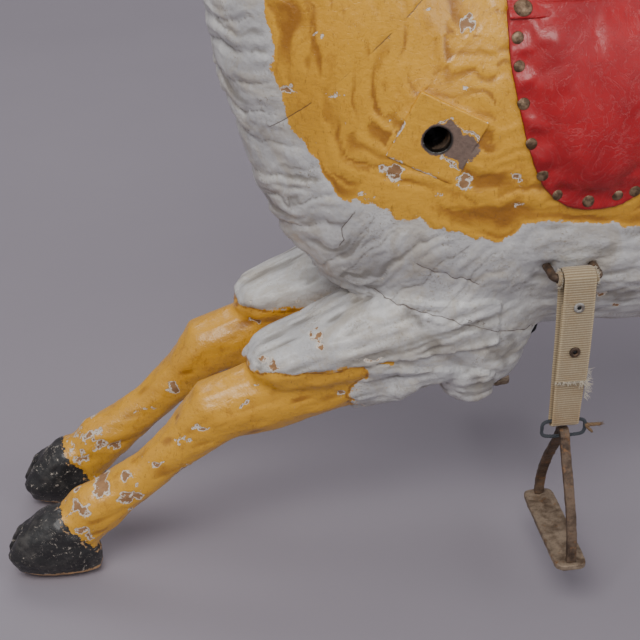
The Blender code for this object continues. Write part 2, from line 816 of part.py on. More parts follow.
def take_up(side):
    return RIGHT_TAKE_UP if side > 0 else 0.0


def strap_centre_line(y, side):
    """The webbing's path across the figure: outer ply, over the bar, back ply, fold, inner ply."""
    low = STRAP_FOLD_Z + take_up(side)
    step = WEB_THICK + 0.4
    outer = ROLL_R + step + WEB_THICK / 2
    roll = ROLL_R + WEB_THICK / 2
    fold = FOLD_R + WEB_THICK / 2
    path = [(outer - 2.0, STRAP_END_Z), (outer - 0.8, 240.0), (outer, 282.0)]
    path += [(outer * math.cos(t), HANGER_Z + outer * math.sin(t) * 0.9) for t in steps_of(15, 90, 4)]
    path += [(roll * math.cos(t), HANGER_Z + (roll + 2.0) * math.sin(t)) for t in steps_of(125, 180, 3)]
    path += [(-roll + 1.0, 270.0), (-fold - 0.2, 215.0), (-fold, low + 4)]
    path += [(fold * math.cos(t), low + fold * math.sin(t)) for t in steps_of(200, 340, 6)]
    path += [(fold, low + 4), (outer - 2.0 - step, STRAP_END_Z)]
    path += [(outer - 0.8 - step, 240.0), (outer - step, STRAP_INNER_TOP_Z)]
    return [(y + side * d, z) for d, z in path]


def steps_of(start, end, count):
    return [math.radians(start + (end - start) * k / count) for k in range(count + 1)]


def ribbon(name, path, thick, x0, x1):
    """A band of even thickness along a path in the Y-Z plane."""
    left, right = [], []
    for i, (y, z) in enumerate(path):
        before, after = Vector(path[max(i - 1, 0)]), Vector(path[min(i + 1, len(path) - 1)])
        along = (after - before).normalized()
        across = Vector((-along.y, along.x)) * (thick / 2)
        left.append((y + across.x, z + across.y))
        right.append((y - across.x, z - across.y))
    return prism(name, left + right[::-1], x0, x1, along_x)


def strap_set(side, blocks):
    """The hanger, webbing, rivets, tie and stirrup of one side."""
    y = side * HANGER_Y
    half_web = WEB_WIDTH / 2
    hanger(side, y, blocks)
    path = strap_centre_line(y, side)
    strap = ribbon(sided(side, "strap"), path, WEB_THICK, HANGER_X - half_web, HANGER_X + half_web)
    outer = ROLL_R + 1.5 * WEB_THICK + 0.4
    for label, z in (("upper", 272.0), ("lower", 232.0)):
        face = y + side * (outer + WEB_THICK / 2 + 0.3)
        back = face - side * (2 * WEB_THICK + 2.2)
        hole = rod("hole", (HANGER_X, face + side * 6, z), (HANGER_X, back - side * 3.2, z), 2.2, 12)
        combine(strap, hole, "DIFFERENCE")
        rivet(sided(side, f"{label}_strap_rivet"), (HANGER_X, face, z), (HANGER_X, back, z), side)
    dress(strap, "webbing", smooth=False)
    tie(side, y)
    stirrup(side, y)


def hanger(side, y, blocks):
    """A steel staple whose bar carries the strap. Its legs are driven into the flank."""
    half = WEB_WIDTH / 2 + 5.5
    depth = side * (surface_y(HANGER_X, HANGER_Z) - 26)
    corner = 5.0
    bend = half - corner
    turns = [(corner * math.cos(t), corner * (1 - math.sin(t))) for t in steps_of(0, 90, 3)]
    left_turn = [(-bend - across, y - side * down) for across, down in turns]
    right_turn = [(-dx, py) for dx, py in left_turn[::-1]]
    points = [(-half, depth), *left_turn, *right_turn, (half, depth)]
    path = [Vector((HANGER_X + dx, py, HANGER_Z)) for dx, py in points]
    staple = bent_tube(sided(side, "strap_hanger"), path, [HANGER_BAR_R] * len(path), sides=10, steps=1)
    dress(staple, "rusty_steel")
    own = [sided(side, "torso_half")]
    for dx in (-half, half):
        start = (HANGER_X + dx, depth - side * 2, HANGER_Z)
        end = (HANGER_X + dx, y - side * 6, HANGER_Z)
        drill(blocks, own, lambda: rod("hole", start, end, HANGER_BAR_R + GAP, 12))


def rivet(name, front, back, side):
    """A tubular rivet with a flange on each side of the webbing."""
    length = abs(front[1] - back[1])
    front_flange = [(0, 1.0), (-0.9, 1.6), (-0.9, 4.0), (0, 4.4), (0, 1.9)]
    back_flange = [(length, 1.9), (length, 3.8), (length + 0.8, 3.6), (length + 0.8, 1.0), (0, 1.0)]
    profile = front_flange + back_flange
    turned(name, profile, front, (0, -side, 0), 10, "rusty_steel")


def tie(side, y):
    """A ring of twisted twine through the strap's fold and the stirrup's eye."""
    half_x, half_z = TIE_HALF
    centre_z = TIE_TOP_Z - half_z + take_up(side)
    bm = bmesh.new()
    rings = []
    count, sides = 24, 6
    for i in range(count):
        turn = 2 * math.pi * i / count
        c, s = math.cos(turn), math.sin(turn)
        wide = math.copysign(abs(c) ** 0.35, c) * half_x
        tall = math.copysign(abs(s) ** 0.35, s) * half_z
        out = Vector((c / half_x, 0, s / half_z)).normalized()
        base = Vector((HANGER_X + wide, y, centre_z + tall))
        ring = []
        for k in range(sides):
            t = 2 * math.pi * k / sides
            shift = out * math.cos(t) + Vector((0, 1, 0)) * math.sin(t)
            ring.append(bm.verts.new(base + shift * TIE_R))
        rings.append(ring)
    for i in range(count):
        first, second = rings[i], rings[(i + 1) % count]
        for k in range(sides):
            n = (k + 1) % sides
            bm.faces.new((first[k], first[n], second[n], second[k]))
    made = finish_object(sided(side, "tie"), bm)
    for bend, lean in ((0.0, 6.0), (-9.0, 2.0)):
        reach = ((-1, 0, 0), (5, 1, bend / 3), (6 + lean, 2, bend))
        tail_path = [Vector((HANGER_X + half_x + dx, y + side * dy, centre_z + dz)) for dx, dy, dz in reach]
        combine(made, bent_tube("end", tail_path, [1.5, 1.4, 1.6], sides=6, steps=2), "UNION")
    dress(made, "twine")


def stirrup_half_span(share):
    """Half the inner span of the bow, from its eye (0) to the tread (1)."""
    return 3.6 + (TREAD_LONG / 2 - 11.5) * math.sin(share * math.pi / 2) ** 1.15


def stirrup(side, y):
    """A flat iron bow bent to a narrow eye, with its ends let into the tread plate."""
    thick, wide = 4.6, 8.0
    top, foot = STIRRUP_TOP_Z + take_up(side), TREAD_Z + take_up(side)
    count = 9
    eye, eye_z = 3.6, top - 4
    shares = [k / count for k in range(count + 1)]
    inner = [(stirrup_half_span(share), eye_z - (eye_z - foot) * share) for share in shares]
    turns = steps_of(0, 180, 8)
    crown = [(eye * math.cos(t), eye_z + eye * math.sin(t)) for t in turns]
    crown_outer = [((eye + thick) * math.cos(t), eye_z + (eye + thick) * math.sin(t)) for t in turns]
    inside = [(u, v) for u, v in inner[::-1]] + crown[1:-1] + [(-u, v) for u, v in inner]
    outside = [(u + thick, v) for u, v in inner[::-1]] + crown_outer[1:-1] + [(-u - thick, v) for u, v in inner]
    outline = [(y + u, v) for u, v in inside] + [(y + u, v) for u, v in outside[::-1]]
    x0, x1 = HANGER_X - wide / 2, HANGER_X + wide / 2
    bow = prism(sided(side, "stirrup_bow"), outline, x0, x1, along_x)
    centre_x = (x0 + x1) / 2
    end = stirrup_half_span(1) + thick / 2
    tread_outline = rounded_slot(centre_x, y, TREAD_WIDE, TREAD_LONG)
    tread = prism(sided(side, "stirrup_tread"), tread_outline, foot - 5, foot, along_z)
    for sign in (-1, 1):
        at = (centre_x, y + sign * end, foot)
        pin = rod("pin", (at[0], at[1], foot - 7.0), (at[0], at[1], foot + 4), 1.9, 12)
        combine(bow, pin, "UNION")
        head = turned("head", [(0, 4.0), (-1.6, 3.4), (-2.2, 0)], (at[0], at[1], foot - 5 - GAP), (0, 0, 1), 12)
        combine(bow, head, "UNION")
        hole = rod("hole", (at[0], at[1], foot - 8), (at[0], at[1], foot + 3), 1.9 + GAP, 12)
        combine(tread, hole, "DIFFERENCE")
    combine(tread, half_space((0, 0, foot - GAP), (0, 0, -1)), "INTERSECT")
    dress(bow, "rusty_steel", smooth=False)
    dress(tread, "rusty_steel", smooth=False)


def rounded_slot(x, y, wide, long, corner=7.0):
    """A plate outline with rounded corners, long in Y."""
    half_x, half_y = wide / 2 - corner, long / 2 - corner
    corners = ((half_x, half_y, 0), (-half_x, half_y, 90), (-half_x, -half_y, 180), (half_x, -half_y, 270))
    return [p for dx, dy, a in corners for p in arc(x + dx, y + dy, corner, a, a + 90, 4)]


# ---------------------------------------------------------------- assembly


def clear_scene():
    for thing in list(bpy.data.objects):
        bpy.data.objects.remove(thing)


def main():
    clear_scene()
    figure = carving()
    blocks = saw_blocks(figure)
    bpy.data.objects.remove(figure)
    joinery(blocks)
    shaft_fittings(blocks)
    belly_bracket(blocks)
    head_fittings(blocks)
    tail(blocks)
    saddle()
    big_nails()
    for side in (-1, 1):
        strap_set(side, blocks)
    for name, block in blocks.items():
        dress(block, "ochre_paint")


main()
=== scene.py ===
"""The looks of the carved deer: its skin, saddle, straps, stirrups, floor and light."""

import math

import bmesh
import bpy
import numpy as np
from mathutils import Matrix, Vector
from mathutils.bvhtree import BVHTree


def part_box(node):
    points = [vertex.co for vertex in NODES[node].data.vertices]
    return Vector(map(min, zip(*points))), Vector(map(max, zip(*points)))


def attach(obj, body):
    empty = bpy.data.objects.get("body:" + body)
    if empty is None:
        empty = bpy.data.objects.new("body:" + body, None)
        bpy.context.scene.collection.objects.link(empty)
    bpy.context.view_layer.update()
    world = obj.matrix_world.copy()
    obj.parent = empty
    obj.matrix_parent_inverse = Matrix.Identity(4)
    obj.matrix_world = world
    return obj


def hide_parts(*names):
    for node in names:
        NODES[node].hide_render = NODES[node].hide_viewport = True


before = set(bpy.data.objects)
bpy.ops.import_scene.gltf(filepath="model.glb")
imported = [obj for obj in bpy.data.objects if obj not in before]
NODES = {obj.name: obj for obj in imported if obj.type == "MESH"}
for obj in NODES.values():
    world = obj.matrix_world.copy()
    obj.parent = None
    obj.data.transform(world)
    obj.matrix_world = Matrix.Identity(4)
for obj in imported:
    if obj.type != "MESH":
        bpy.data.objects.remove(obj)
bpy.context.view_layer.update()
FIGURE = "figure"
SIDES = ((-1, "left"), (1, "right"))

# ---------------------------------------------------------------- noise on arrays of points


def hashed(ix, iy, iz, seed):
    """A number from -1 to 1 for every lattice point."""
    h = (ix * 73856093) ^ (iy * 19349663) ^ (iz * 83492791) ^ (seed * 15485863 + 12345)
    h = (h ^ (h >> 13)) * 1274126177
    h = (h & 0xFFFFFFFF) ^ ((h & 0xFFFFFFFF) >> 16)
    return (h & 0xFFFFFF) / float(0x7FFFFF) - 1.0


def noise(p, size, seed=0):
    """Smooth noise from -1 to 1. size is the width of one feature in metres, or one width per axis."""
    q = p / np.asarray(size, dtype=float)
    base = np.floor(q).astype(np.int64)
    t = q - base
    t = t * t * t * (t * (t * 6 - 15) + 10)
    total = 0.0
    for dx in (0, 1):
        wx = t[:, 0] if dx else 1 - t[:, 0]
        for dy in (0, 1):
            wy = t[:, 1] if dy else 1 - t[:, 1]
            for dz in (0, 1):
                wz = t[:, 2] if dz else 1 - t[:, 2]
                total = total + wx * wy * wz * hashed(base[:, 0] + dx, base[:, 1] + dy, base[:, 2] + dz, seed)
    return total


def fractal(p, size, seed=0, octaves=3):
    total, weight = 0.0, 0.0
    for k in range(octaves):
        total = total + noise(p, np.asarray(size, dtype=float) / 2 ** k, seed + 7 * k) / 2 ** k
        weight += 1 / 2 ** k
    return total / weight


def ramp(value, low, high):
    t = np.clip((value - low) / (high - low), 0, 1)
    return t * t * (3 - 2 * t)


def along_line(x, z, points):
    """Signed distance to a line in the X-Z plane, and the distance along it to the nearest point.

    The distance is positive on the right of the line's direction, seen from the deer's left side."""
    best = np.full(len(x), 1e9)
    signed = np.zeros(len(x))
    travelled = np.zeros(len(x))
    start = 0.0
    for (ax, az), (bx, bz) in zip(points, points[1:]):
        dx, dz = bx - ax, bz - az
        length = math.hypot(dx, dz)
        t = np.clip(((x - ax) * dx + (z - az) * dz) / length ** 2, 0, 1)
        ox, oz = x - ax - t * dx, z - az - t * dz
        far = np.hypot(ox, oz)
        closer = far < best
        best = np.where(closer, far, best)
        cross = (x - ax) * dz - (z - az) * dx
        signed = np.where(closer, np.copysign(far, cross), signed)
        travelled = np.where(closer, start + t * length, travelled)
        start += length
    return signed, travelled


# ---------------------------------------------------------------- meshes


def arrays(mesh):
    count = len(mesh.vertices)
    co = np.empty(count * 3)
    mesh.vertices.foreach_get("co", co)
    no = np.empty(count * 3)
    mesh.vertices.foreach_get("normal", no)
    return co.reshape(-1, 3), no.reshape(-1, 3)


def new_object(name, mesh):
    made = bpy.data.objects.new(name, mesh)
    bpy.context.scene.collection.objects.link(made)
    return made


def from_bmesh(name, bm):
    bmesh.ops.recalc_face_normals(bm, faces=bm.faces)
    mesh = bpy.data.meshes.new(name)
    bm.to_mesh(mesh)
    bm.free()
    mesh.shade_smooth()
    return new_object(name, mesh)


def evaluated(thing):
    """Applies every modifier to the object's mesh."""
    bpy.context.view_layer.update()
    graph = bpy.context.evaluated_depsgraph_get()
    mesh = bpy.data.meshes.new_from_object(thing.evaluated_get(graph))
    thing.modifiers.clear()
    thing.data = mesh
    return thing


def remesh(thing, voxel):
    modifier = thing.modifiers.new("remesh", "REMESH")
    modifier.mode = "VOXEL"
    modifier.voxel_size = voxel
    return evaluated(thing)


def joined(name, meshes):
    bm = bmesh.new()
    for mesh in meshes:
        bm.from_mesh(mesh)
    mesh = bpy.data.meshes.new(name)
    bm.to_mesh(mesh)
    bm.free()
    return new_object(name, mesh)


def turned(name, profile, centre, axis, sides=32):
    """A body turned about axis from (distance along it, radius) points. A zero radius closes on the axis."""
    bm = bmesh.new()
    axis = Vector(axis).normalized()
    side = axis.orthogonal().normalized()
    other = axis.cross(side)
    rings = []
    for along, radius in profile:
        base = Vector(centre) + axis * along
        if radius == 0:
            rings.append([bm.verts.new(base)])
            continue
        turns = [2 * math.pi * k / sides for k in range(sides)]
        rings.append([bm.verts.new(base + (side * math.cos(t) + other * math.sin(t)) * radius) for t in turns])
    if profile[0] == profile[-1]:
        for v in rings.pop():
            bm.verts.remove(v)
        pairs = list(zip(rings, rings[1:])) + [(rings[-1], rings[0])]
    else:
        pairs = list(zip(rings, rings[1:]))
    for first, second in pairs:
        for k in range(sides):
            n = (k + 1) % sides
            corners = (first[k % len(first)], first[n % len(first)], second[n % len(second)], second[k % len(second)])
            unique = list(dict.fromkeys(corners))
            bm.faces.new(unique)
    return from_bmesh(name, bm)


def tube(name, points, radius, sides=10, closed=False):
    """A round body along points. radius is one number or one per point."""
    bm = bmesh.new()
    count = len(points)
    radii = [radius] * count if isinstance(radius, (int, float)) else list(radius)
    side = None
    rings = []
    for i, point in enumerate(points):
        before = points[i - 1] if i or closed else points[0]
        after = points[(i + 1) % count] if i < count - 1 or closed else points[-1]
        along = (Vector(after) - Vector(before)).normalized()
        side = along.orthogonal().normalized() if side is None else (side - along * side.dot(along)).normalized()
        other = along.cross(side)
        turns = [2 * math.pi * k / sides for k in range(sides)]
        rings.append(
            [bm.verts.new(Vector(point) + (side * math.cos(t) + other * math.sin(t)) * radii[i]) for t in turns]
        )
    pairs = list(zip(rings, rings[1:]))
    if closed:
        twist = min(range(sides), key=lambda k: (rings[-1][k].co - rings[0][0].co).length)
        pairs.append((rings[-1][twist:] + rings[-1][:twist], rings[0]))
    else:
        bm.faces.new(rings[0])
        bm.faces.new(rings[-1])
    for first, second in pairs:
        for k in range(sides):
            n = (k + 1) % sides
            bm.faces.new((first[k], first[n], second[n], second[k]))
    return from_bmesh(name, bm)


def place(thing, body, slot, material, *replaced):
    """Gives a new piece its body, its finish and the nodes it stands for."""
    thing.data.materials.clear()
    thing.data.materials.append(material)
    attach(thing, body)
    if replaced:
        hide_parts(*replaced)
    return thing


# ---------------------------------------------------------------- materials


class Shader:
    """A short way to write a node material."""

    def __init__(self, name, roughness=0.5, metallic=0.0, coat=0.0, coat_roughness=0.1, specular=0.5, sheen=0.0):
        self.material = bpy.data.materials.new(name)
        self.material.use_nodes = True
        self.tree = self.material.node_tree
        self.out = self.tree.nodes["Principled BSDF"]
        self.out.inputs["Roughness"].default_value = roughness
        self.out.inputs["Metallic"].default_value = metallic
        self.out.inputs["Coat Weight"].default_value = coat
        self.out.inputs["Coat Roughness"].default_value = coat_roughness
        self.out.inputs["Specular IOR Level"].default_value = specular
        self.out.inputs["Sheen Weight"].default_value = sheen
        self.position = self.node("ShaderNodeNewGeometry").outputs["Position"]
        self.coordinates = self.node("ShaderNodeTexCoord").outputs["Object"]

    def node(self, kind, **settings):
        made = self.tree.nodes.new(kind)
        for key, value in settings.items():
            setattr(made, key, value)
        return made

    def feed(self, socket, value):
        if isinstance(value, bpy.types.NodeSocket):
            self.tree.links.new(value, socket)
        else:
            socket.default_value = value

    def attribute(self, name):
        return self.node("ShaderNodeAttribute", attribute_name=name).outputs["Fac"]

    def math(self, operation, a, b=0.0, c=0.0, clamp=False):
        made = self.node("ShaderNodeMath", operation=operation, use_clamp=clamp)
        for socket, value in zip(made.inputs, (a, b, c)):
            self.feed(socket, value)
        return made.outputs[0]

    def noise(self, scale, detail=4.0, roughness=0.55, stretch=None, distortion=0.0):
        made = self.node("ShaderNodeTexNoise")
        self.feed(made.inputs["Vector"], self.mapped(stretch))
        made.inputs["Scale"].default_value = scale
        made.inputs["Detail"].default_value = detail
        made.inputs["Roughness"].default_value = roughness
        made.inputs["Distortion"].default_value = distortion
        return made.outputs["Fac"]

    def wander(self, amount, *settings):
        """Noise centred on nought, this far from end to end."""
        return self.math("MULTIPLY", self.math("SUBTRACT", self.noise(*settings), 0.5), amount)

    def cells(self, scale, feature="F1", stretch=None, randomness=1.0):
        made = self.node("ShaderNodeTexVoronoi", feature=feature)
        self.feed(made.inputs["Vector"], self.mapped(stretch))
        made.inputs["Scale"].default_value = scale
        made.inputs["Randomness"].default_value = randomness
        return made.outputs["Distance"]

    def mapped(self, stretch):
        if stretch is None:
            return self.coordinates
        made = self.node("ShaderNodeMapping")
        self.feed(made.inputs["Vector"], self.coordinates)
        made.inputs["Scale"].default_value = stretch
        return made.outputs[0]

    def step(self, value, low, high):
        """0 below low, 1 above high. low may be above high."""
        made = self.node("ShaderNodeMapRange", interpolation_type="SMOOTHSTEP")
        self.feed(made.inputs["Value"], value)
        if low <= high:
            made.inputs["From Min"].default_value, made.inputs["From Max"].default_value = low, high
            made.inputs["To Min"].default_value, made.inputs["To Max"].default_value = 0.0, 1.0
        else:
            made.inputs["From Min"].default_value, made.inputs["From Max"].default_value = high, low
            made.inputs["To Min"].default_value, made.inputs["To Max"].default_value = 1.0, 0.0
        return made.outputs[0]

    def mix(self, share, a, b):
        made = self.node("ShaderNodeMix", data_type="RGBA")
        self.feed(made.inputs["Factor"], share)
        for socket, value in ((made.inputs[6], a), (made.inputs[7], b)):
            self.feed(socket, (*value, 1.0) if isinstance(value, tuple) else value)
        return made.outputs[2]

    def blend(self, share, a, b):
        first = self.math("MULTIPLY", self.math("SUBTRACT", 1.0, share), a)
        return self.math("ADD", first, self.math("MULTIPLY", share, b))

    def bump(self, *heights, distance=0.001, strength=1.0):
        total = heights[0]
        for height in heights[1:]:
            total = self.math("ADD", total, height)
        made = self.node("ShaderNodeBump")
        made.inputs["Distance"].default_value = distance
        made.inputs["Strength"].default_value = strength
        self.feed(made.inputs["Height"], total)
        self.feed(self.out.inputs["Normal"], made.outputs[0])

    def finish(self, colour, roughness=None):
        self.feed(self.out.inputs["Base Color"], colour)
        if roughness is not None:
            self.feed(self.out.inputs["Roughness"], roughness)
        return self.material


def paint_material():
    """Ochre, white and black enamel over wood, with painted shade darkening the carved hollows and the shaft bores.
    The meshes' attributes say where each lies, in centimetres.
    """
    s = Shader("carved_paint", coat=0.25, coat_roughness=0.12)
    white = s.math("ADD", s.attribute("white"), s.wander(0.9, 260, 5, 0.7))
    white = s.step(white, -0.04, 0.04)
    black = s.math("ADD", s.attribute("hoof"), s.wander(1.1, 190, 5, 0.7))
    black = s.step(black, -0.05, 0.05)
    hollow = s.attribute("hollow")
    fine = s.noise(420, 6, 0.7)
    broad = s.noise(22, 4, 0.6)
    flecks = s.step(s.noise(210, 6, 0.85, (1.0, 1.0, 0.45), 1.4), 0.655, 0.69)
    ochre = s.mix(broad, (0.54, 0.245, 0.013), (0.70, 0.36, 0.028))
    # Painted shade: the ochre turns dark brown in the carved hollows.
    ochre = s.mix(s.math("MULTIPLY", s.step(hollow, 0.12, 0.75), 0.85), ochre, (0.25, 0.09, 0.006))
    pitted = s.step(s.noise(300, 6, 0.85, (1.0, 1.0, 0.4)), 0.565, 0.64)
    ochre = s.mix(s.math("MULTIPLY", pitted, 0.5), ochre, (0.16, 0.06, 0.01))
    rubbed = s.step(s.noise(95, 6, 0.8, (1.0, 1.0, 0.5)), 0.52, 0.68)
    ochre = s.mix(s.math("MULTIPLY", rubbed, 0.6), ochre, (0.36, 0.15, 0.01))
    white_tone = s.mix(s.step(broad, 0.35, 0.7), (0.42, 0.41, 0.41), (0.60, 0.585, 0.565))
    grime = s.step(s.noise(36, 6, 0.7), 0.48, 0.66)
    specks = s.step(s.noise(480, 5, 0.8), 0.52, 0.62)
    dirt = s.math("MULTIPLY", specks, s.math("ADD", s.math("MULTIPLY", grime, 0.7), 0.14))
    white_tone = s.mix(dirt, white_tone, (0.20, 0.155, 0.09))
    stained = s.math("MULTIPLY", s.step(s.noise(24, 6, 0.75, None, 0.8), 0.44, 0.62), 0.55)
    white_tone = s.mix(stained, white_tone, (0.40, 0.345, 0.265))
    # Painted shade: the white turns grey-brown in the carved hollows.
    white_tone = s.mix(s.math("MULTIPLY", s.step(hollow, 0.15, 0.85), 0.68), white_tone, (0.15, 0.13, 0.105))
    tone = s.mix(white, ochre, white_tone)
    wood_tone = s.mix(s.noise(150, 5, 0.65, (0.3, 1.0, 1.0)), (0.12, 0.055, 0.02), (0.42, 0.22, 0.09))
    primer = s.mix(s.step(s.noise(75, 3, 0.6), 0.42, 0.58), (0.66, 0.60, 0.52), wood_tone)
    tone = s.mix(s.math("MULTIPLY", flecks, 0.7), tone, primer)
    black_tone = s.mix(s.step(s.noise(60, 5, 0.7), 0.45, 0.7), (0.012, 0.011, 0.011), (0.05, 0.045, 0.04))
    black_tone = s.mix(s.step(s.noise(135, 6, 0.85, None, 1.0), 0.585, 0.63), black_tone, (0.42, 0.37, 0.31))
    worn_edge = s.math("ADD", s.attribute("edge"), s.math("MULTIPLY", s.noise(130, 5, 0.7), 0.9))
    edge_wood = s.step(worn_edge, 0.80, 0.92)
    black_tone = s.mix(edge_wood, black_tone, s.mix(fine, (0.36, 0.17, 0.05), (0.62, 0.40, 0.20)))
    tone = s.mix(black, tone, black_tone)
    chip_depth = s.math("ADD", s.attribute("chip"), s.wander(1.3, 170, 6, 0.75))
    chipped = s.step(chip_depth, 0.46, 0.50)
    bare = s.step(chip_depth, 0.62, 0.66)
    bare_tone = s.mix(bare, (0.62, 0.55, 0.47), wood_tone)
    tone = s.mix(chipped, tone, bare_tone)
    rust = s.attribute("rust")
    rust_depth = s.math("ADD", rust, s.wander(1.2, 120, 6, 0.75))
    rust_tone = s.mix(s.noise(300, 5, 0.7), (0.075, 0.05, 0.038), (0.24, 0.16, 0.12))
    tone = s.mix(s.step(rust_depth, 0.48, 0.53), tone, rust_tone)
    middle = s.math("ADD", s.attribute("split"), s.wander(0.16, 120, 4, 0.6))
    line = s.step(s.math("ABSOLUTE", middle), 0.055, 0.02)
    crack = s.math("MULTIPLY", line, s.step(s.attribute("crack"), 0.1, 0.6))
    tone = s.mix(s.math("MULTIPLY", crack, 0.8), tone, (0.07, 0.045, 0.03))
    # Painted shade: the walls of the shaft bores are painted near black.
    tone = s.mix(s.attribute("bore"), tone, (0.012, 0.009, 0.007))
    glossy = s.math("ADD", 0.2, s.math("MULTIPLY", fine, 0.22))
    chalky = s.math("ADD", 0.34, s.math("MULTIPLY", fine, 0.3))
    rough = s.blend(white, glossy, chalky)
    rough = s.blend(chipped, rough, 0.75)
    rough = s.blend(black, rough, s.math("ADD", 0.35, s.math("MULTIPLY", fine, 0.35)))
    craze = s.step(s.cells(95, "DISTANCE_TO_EDGE"), 0.0, 0.035)
    s.bump(
        s.math("MULTIPLY", s.noise(240, 5, 0.65), 0.9),
        s.math("MULTIPLY", s.noise(60, 4, 0.6), 1.2),
        s.math("MULTIPLY", craze, 0.12),
        s.math("MULTIPLY", s.math("SUBTRACT", 1.0, chipped), 0.6),
        distance=0.0009,
        strength=0.75,
    )
    return s.finish(tone, rough)


def wood_material():
    s = Shader("plain_wood", roughness=0.6)
    grain = s.noise(40, 6, 0.6, (1.0, 8.0, 8.0), 0.4)
    s.bump(grain, distance=0.0005)
    return s.finish(s.mix(grain, (0.22, 0.11, 0.045), (0.46, 0.28, 0.13)))


def antler_material():
    s = Shader("antler", roughness=0.5, coat=0.15)
    grain = s.noise(120, 6, 0.7, (1.0, 1.0, 0.25))
    tone = s.mix(grain, (0.11, 0.062, 0.03), (0.33, 0.22, 0.12))
    tone = s.mix(s.step(s.noise(300, 3, 0.6), 0.66, 0.7), tone, (0.6, 0.52, 0.4))
    s.bump(grain, s.noise(500, 3), distance=0.0012)
    return s.finish(tone)


def eye_material():
    s = Shader("eye", roughness=0.05, coat=1.0, coat_roughness=0.02)
    return s.finish(s.mix(s.step(s.noise(220, 2), 0.35, 0.65), (0.006, 0.004, 0.003), (0.05, 0.022, 0.008)))


def rusty_material(name, dark, light, orange, patch=0.5):
    s = Shader(name, roughness=0.55, metallic=0.55)
    coarse = s.noise(85, 6, 0.72)
    fine = s.noise(620, 5, 0.75)
    tone = s.mix(s.step(coarse, 0.34, 0.66), dark, light)
    tone = s.mix(s.math("MULTIPLY", s.step(s.noise(140, 6, 0.75), patch, patch + 0.14), 0.8), tone, orange)
    tone = s.mix(s.math("MULTIPLY", s.step(fine, 0.55, 0.7), 0.55), tone, (0.02, 0.014, 0.01))
    s.bump(s.math("MULTIPLY", fine, 0.8), coarse, distance=0.0007, strength=0.9)
    return s.finish(tone, s.math("ADD", 0.42, s.math("MULTIPLY", coarse, 0.4)))


def black_steel_material():
    s = Shader("black_steel", roughness=0.45, metallic=0.3)
    fine = s.noise(400, 5, 0.7)
    s.bump(fine, distance=0.0005)
    return s.finish(s.mix(s.step(fine, 0.55, 0.75), (0.012, 0.012, 0.013), (0.07, 0.045, 0.03)))


def leather_material():
    """Glossy red hide: fine swirling creases with a painted highlight along them, painted shade in the finest
    creases, pale patches of wear and painted highlight, and darker hems.
    """
    s = Shader("red_leather", coat=0.22, coat_roughness=0.2, specular=0.4)
    broad = s.noise(14, 4, 0.6)
    swirl = s.noise(30, 5, 0.62, (1.0, 1.0, 0.8), 2.6)
    crease = s.step(s.math("ABSOLUTE", s.math("SUBTRACT", swirl, 0.5)), 0.0, 0.022)
    small = s.noise(95, 5, 0.65, None, 1.8)
    hair = s.step(s.math("ABSOLUTE", s.math("SUBTRACT", small, 0.5)), 0.0, 0.03)
    grain = s.cells(1100, "F1")
    tone = s.mix(s.step(broad, 0.35, 0.68), (0.27, 0.004, 0.008), (0.40, 0.010, 0.014))
    # Painted highlight: the crease lines are painted a paler red.
    tone = s.mix(s.math("MULTIPLY", s.math("SUBTRACT", 1.0, crease), 0.24), tone, (0.56, 0.09, 0.09))
    # Painted shade: the finest creases are painted a darker red.
    tone = s.mix(s.math("MULTIPLY", s.math("SUBTRACT", 1.0, hair), 0.22), tone, (0.24, 0.006, 0.008))
    # Pale pink patches: partly real wear, partly a painted highlight of the gloss.
    worn = s.math("MULTIPLY", s.step(s.noise(42, 6, 0.75), 0.56, 0.74), 0.14)
    tone = s.mix(worn, tone, (0.66, 0.14, 0.14))
    scuff = s.math("MULTIPLY", s.step(s.noise(130, 6, 0.8, (1.0, 1.0, 0.6)), 0.66, 0.70), 0.55)
    tone = s.mix(scuff, tone, (0.12, 0.03, 0.03))
    # The leather is darker towards its hems and the seat's foot.
    tone = s.mix(s.math("MULTIPLY", s.step(s.attribute("rim"), 0.3, 1.0), 0.55), tone, (0.13, 0.006, 0.008))
    s.bump(
        s.math("MULTIPLY", crease, 0.55), s.math("MULTIPLY", hair, 0.22), s.math("MULTIPLY", small, 0.35),
        s.math("MULTIPLY", grain, 0.12), distance=0.0007, strength=0.55,
    )
    return s.finish(tone, s.math("ADD", 0.22, s.math("MULTIPLY", s.noise(60, 4), 0.26)))


def nail_material():
    s = Shader("domed_nail", roughness=0.35, metallic=0.6)
    fine = s.noise(700, 4, 0.7)
    tone = s.mix(s.step(s.noise(160, 4, 0.7), 0.4, 0.65), (0.085, 0.048, 0.026), (0.25, 0.165, 0.10))
    s.bump(fine, distance=0.0004)
    return s.finish(tone, s.math("ADD", 0.28, s.math("MULTIPLY", fine, 0.3)))


def webbing_material():
    """Beige cotton: threads along and across, painted shade in the grooves between the ribs, soiled in patches and
    darker low down.
    """
    s = Shader("cotton_webbing", roughness=0.92, specular=0.2, sheen=0.3)
    soil = s.step(s.noise(52, 6, 0.75), 0.47, 0.68)
    threads = s.noise(1100, 3, 0.6, (1.0, 1.0, 0.35))
    tone = s.mix(threads, (0.29, 0.225, 0.14), (0.52, 0.43, 0.29))
    tone = s.mix(s.math("MULTIPLY", soil, 0.5), tone, (0.36, 0.24, 0.12))
    # Painted shade: the grooves between the ribs are painted dark brown.
    tone = s.mix(s.math("MULTIPLY", s.attribute("groove"), 0.9), tone, (0.16, 0.105, 0.05))
    tone = s.mix(s.math("MULTIPLY", s.attribute("soil"), 0.75), tone, (0.22, 0.135, 0.065))
    s.bump(threads, distance=0.0005, strength=0.8)
    return s.finish(tone)


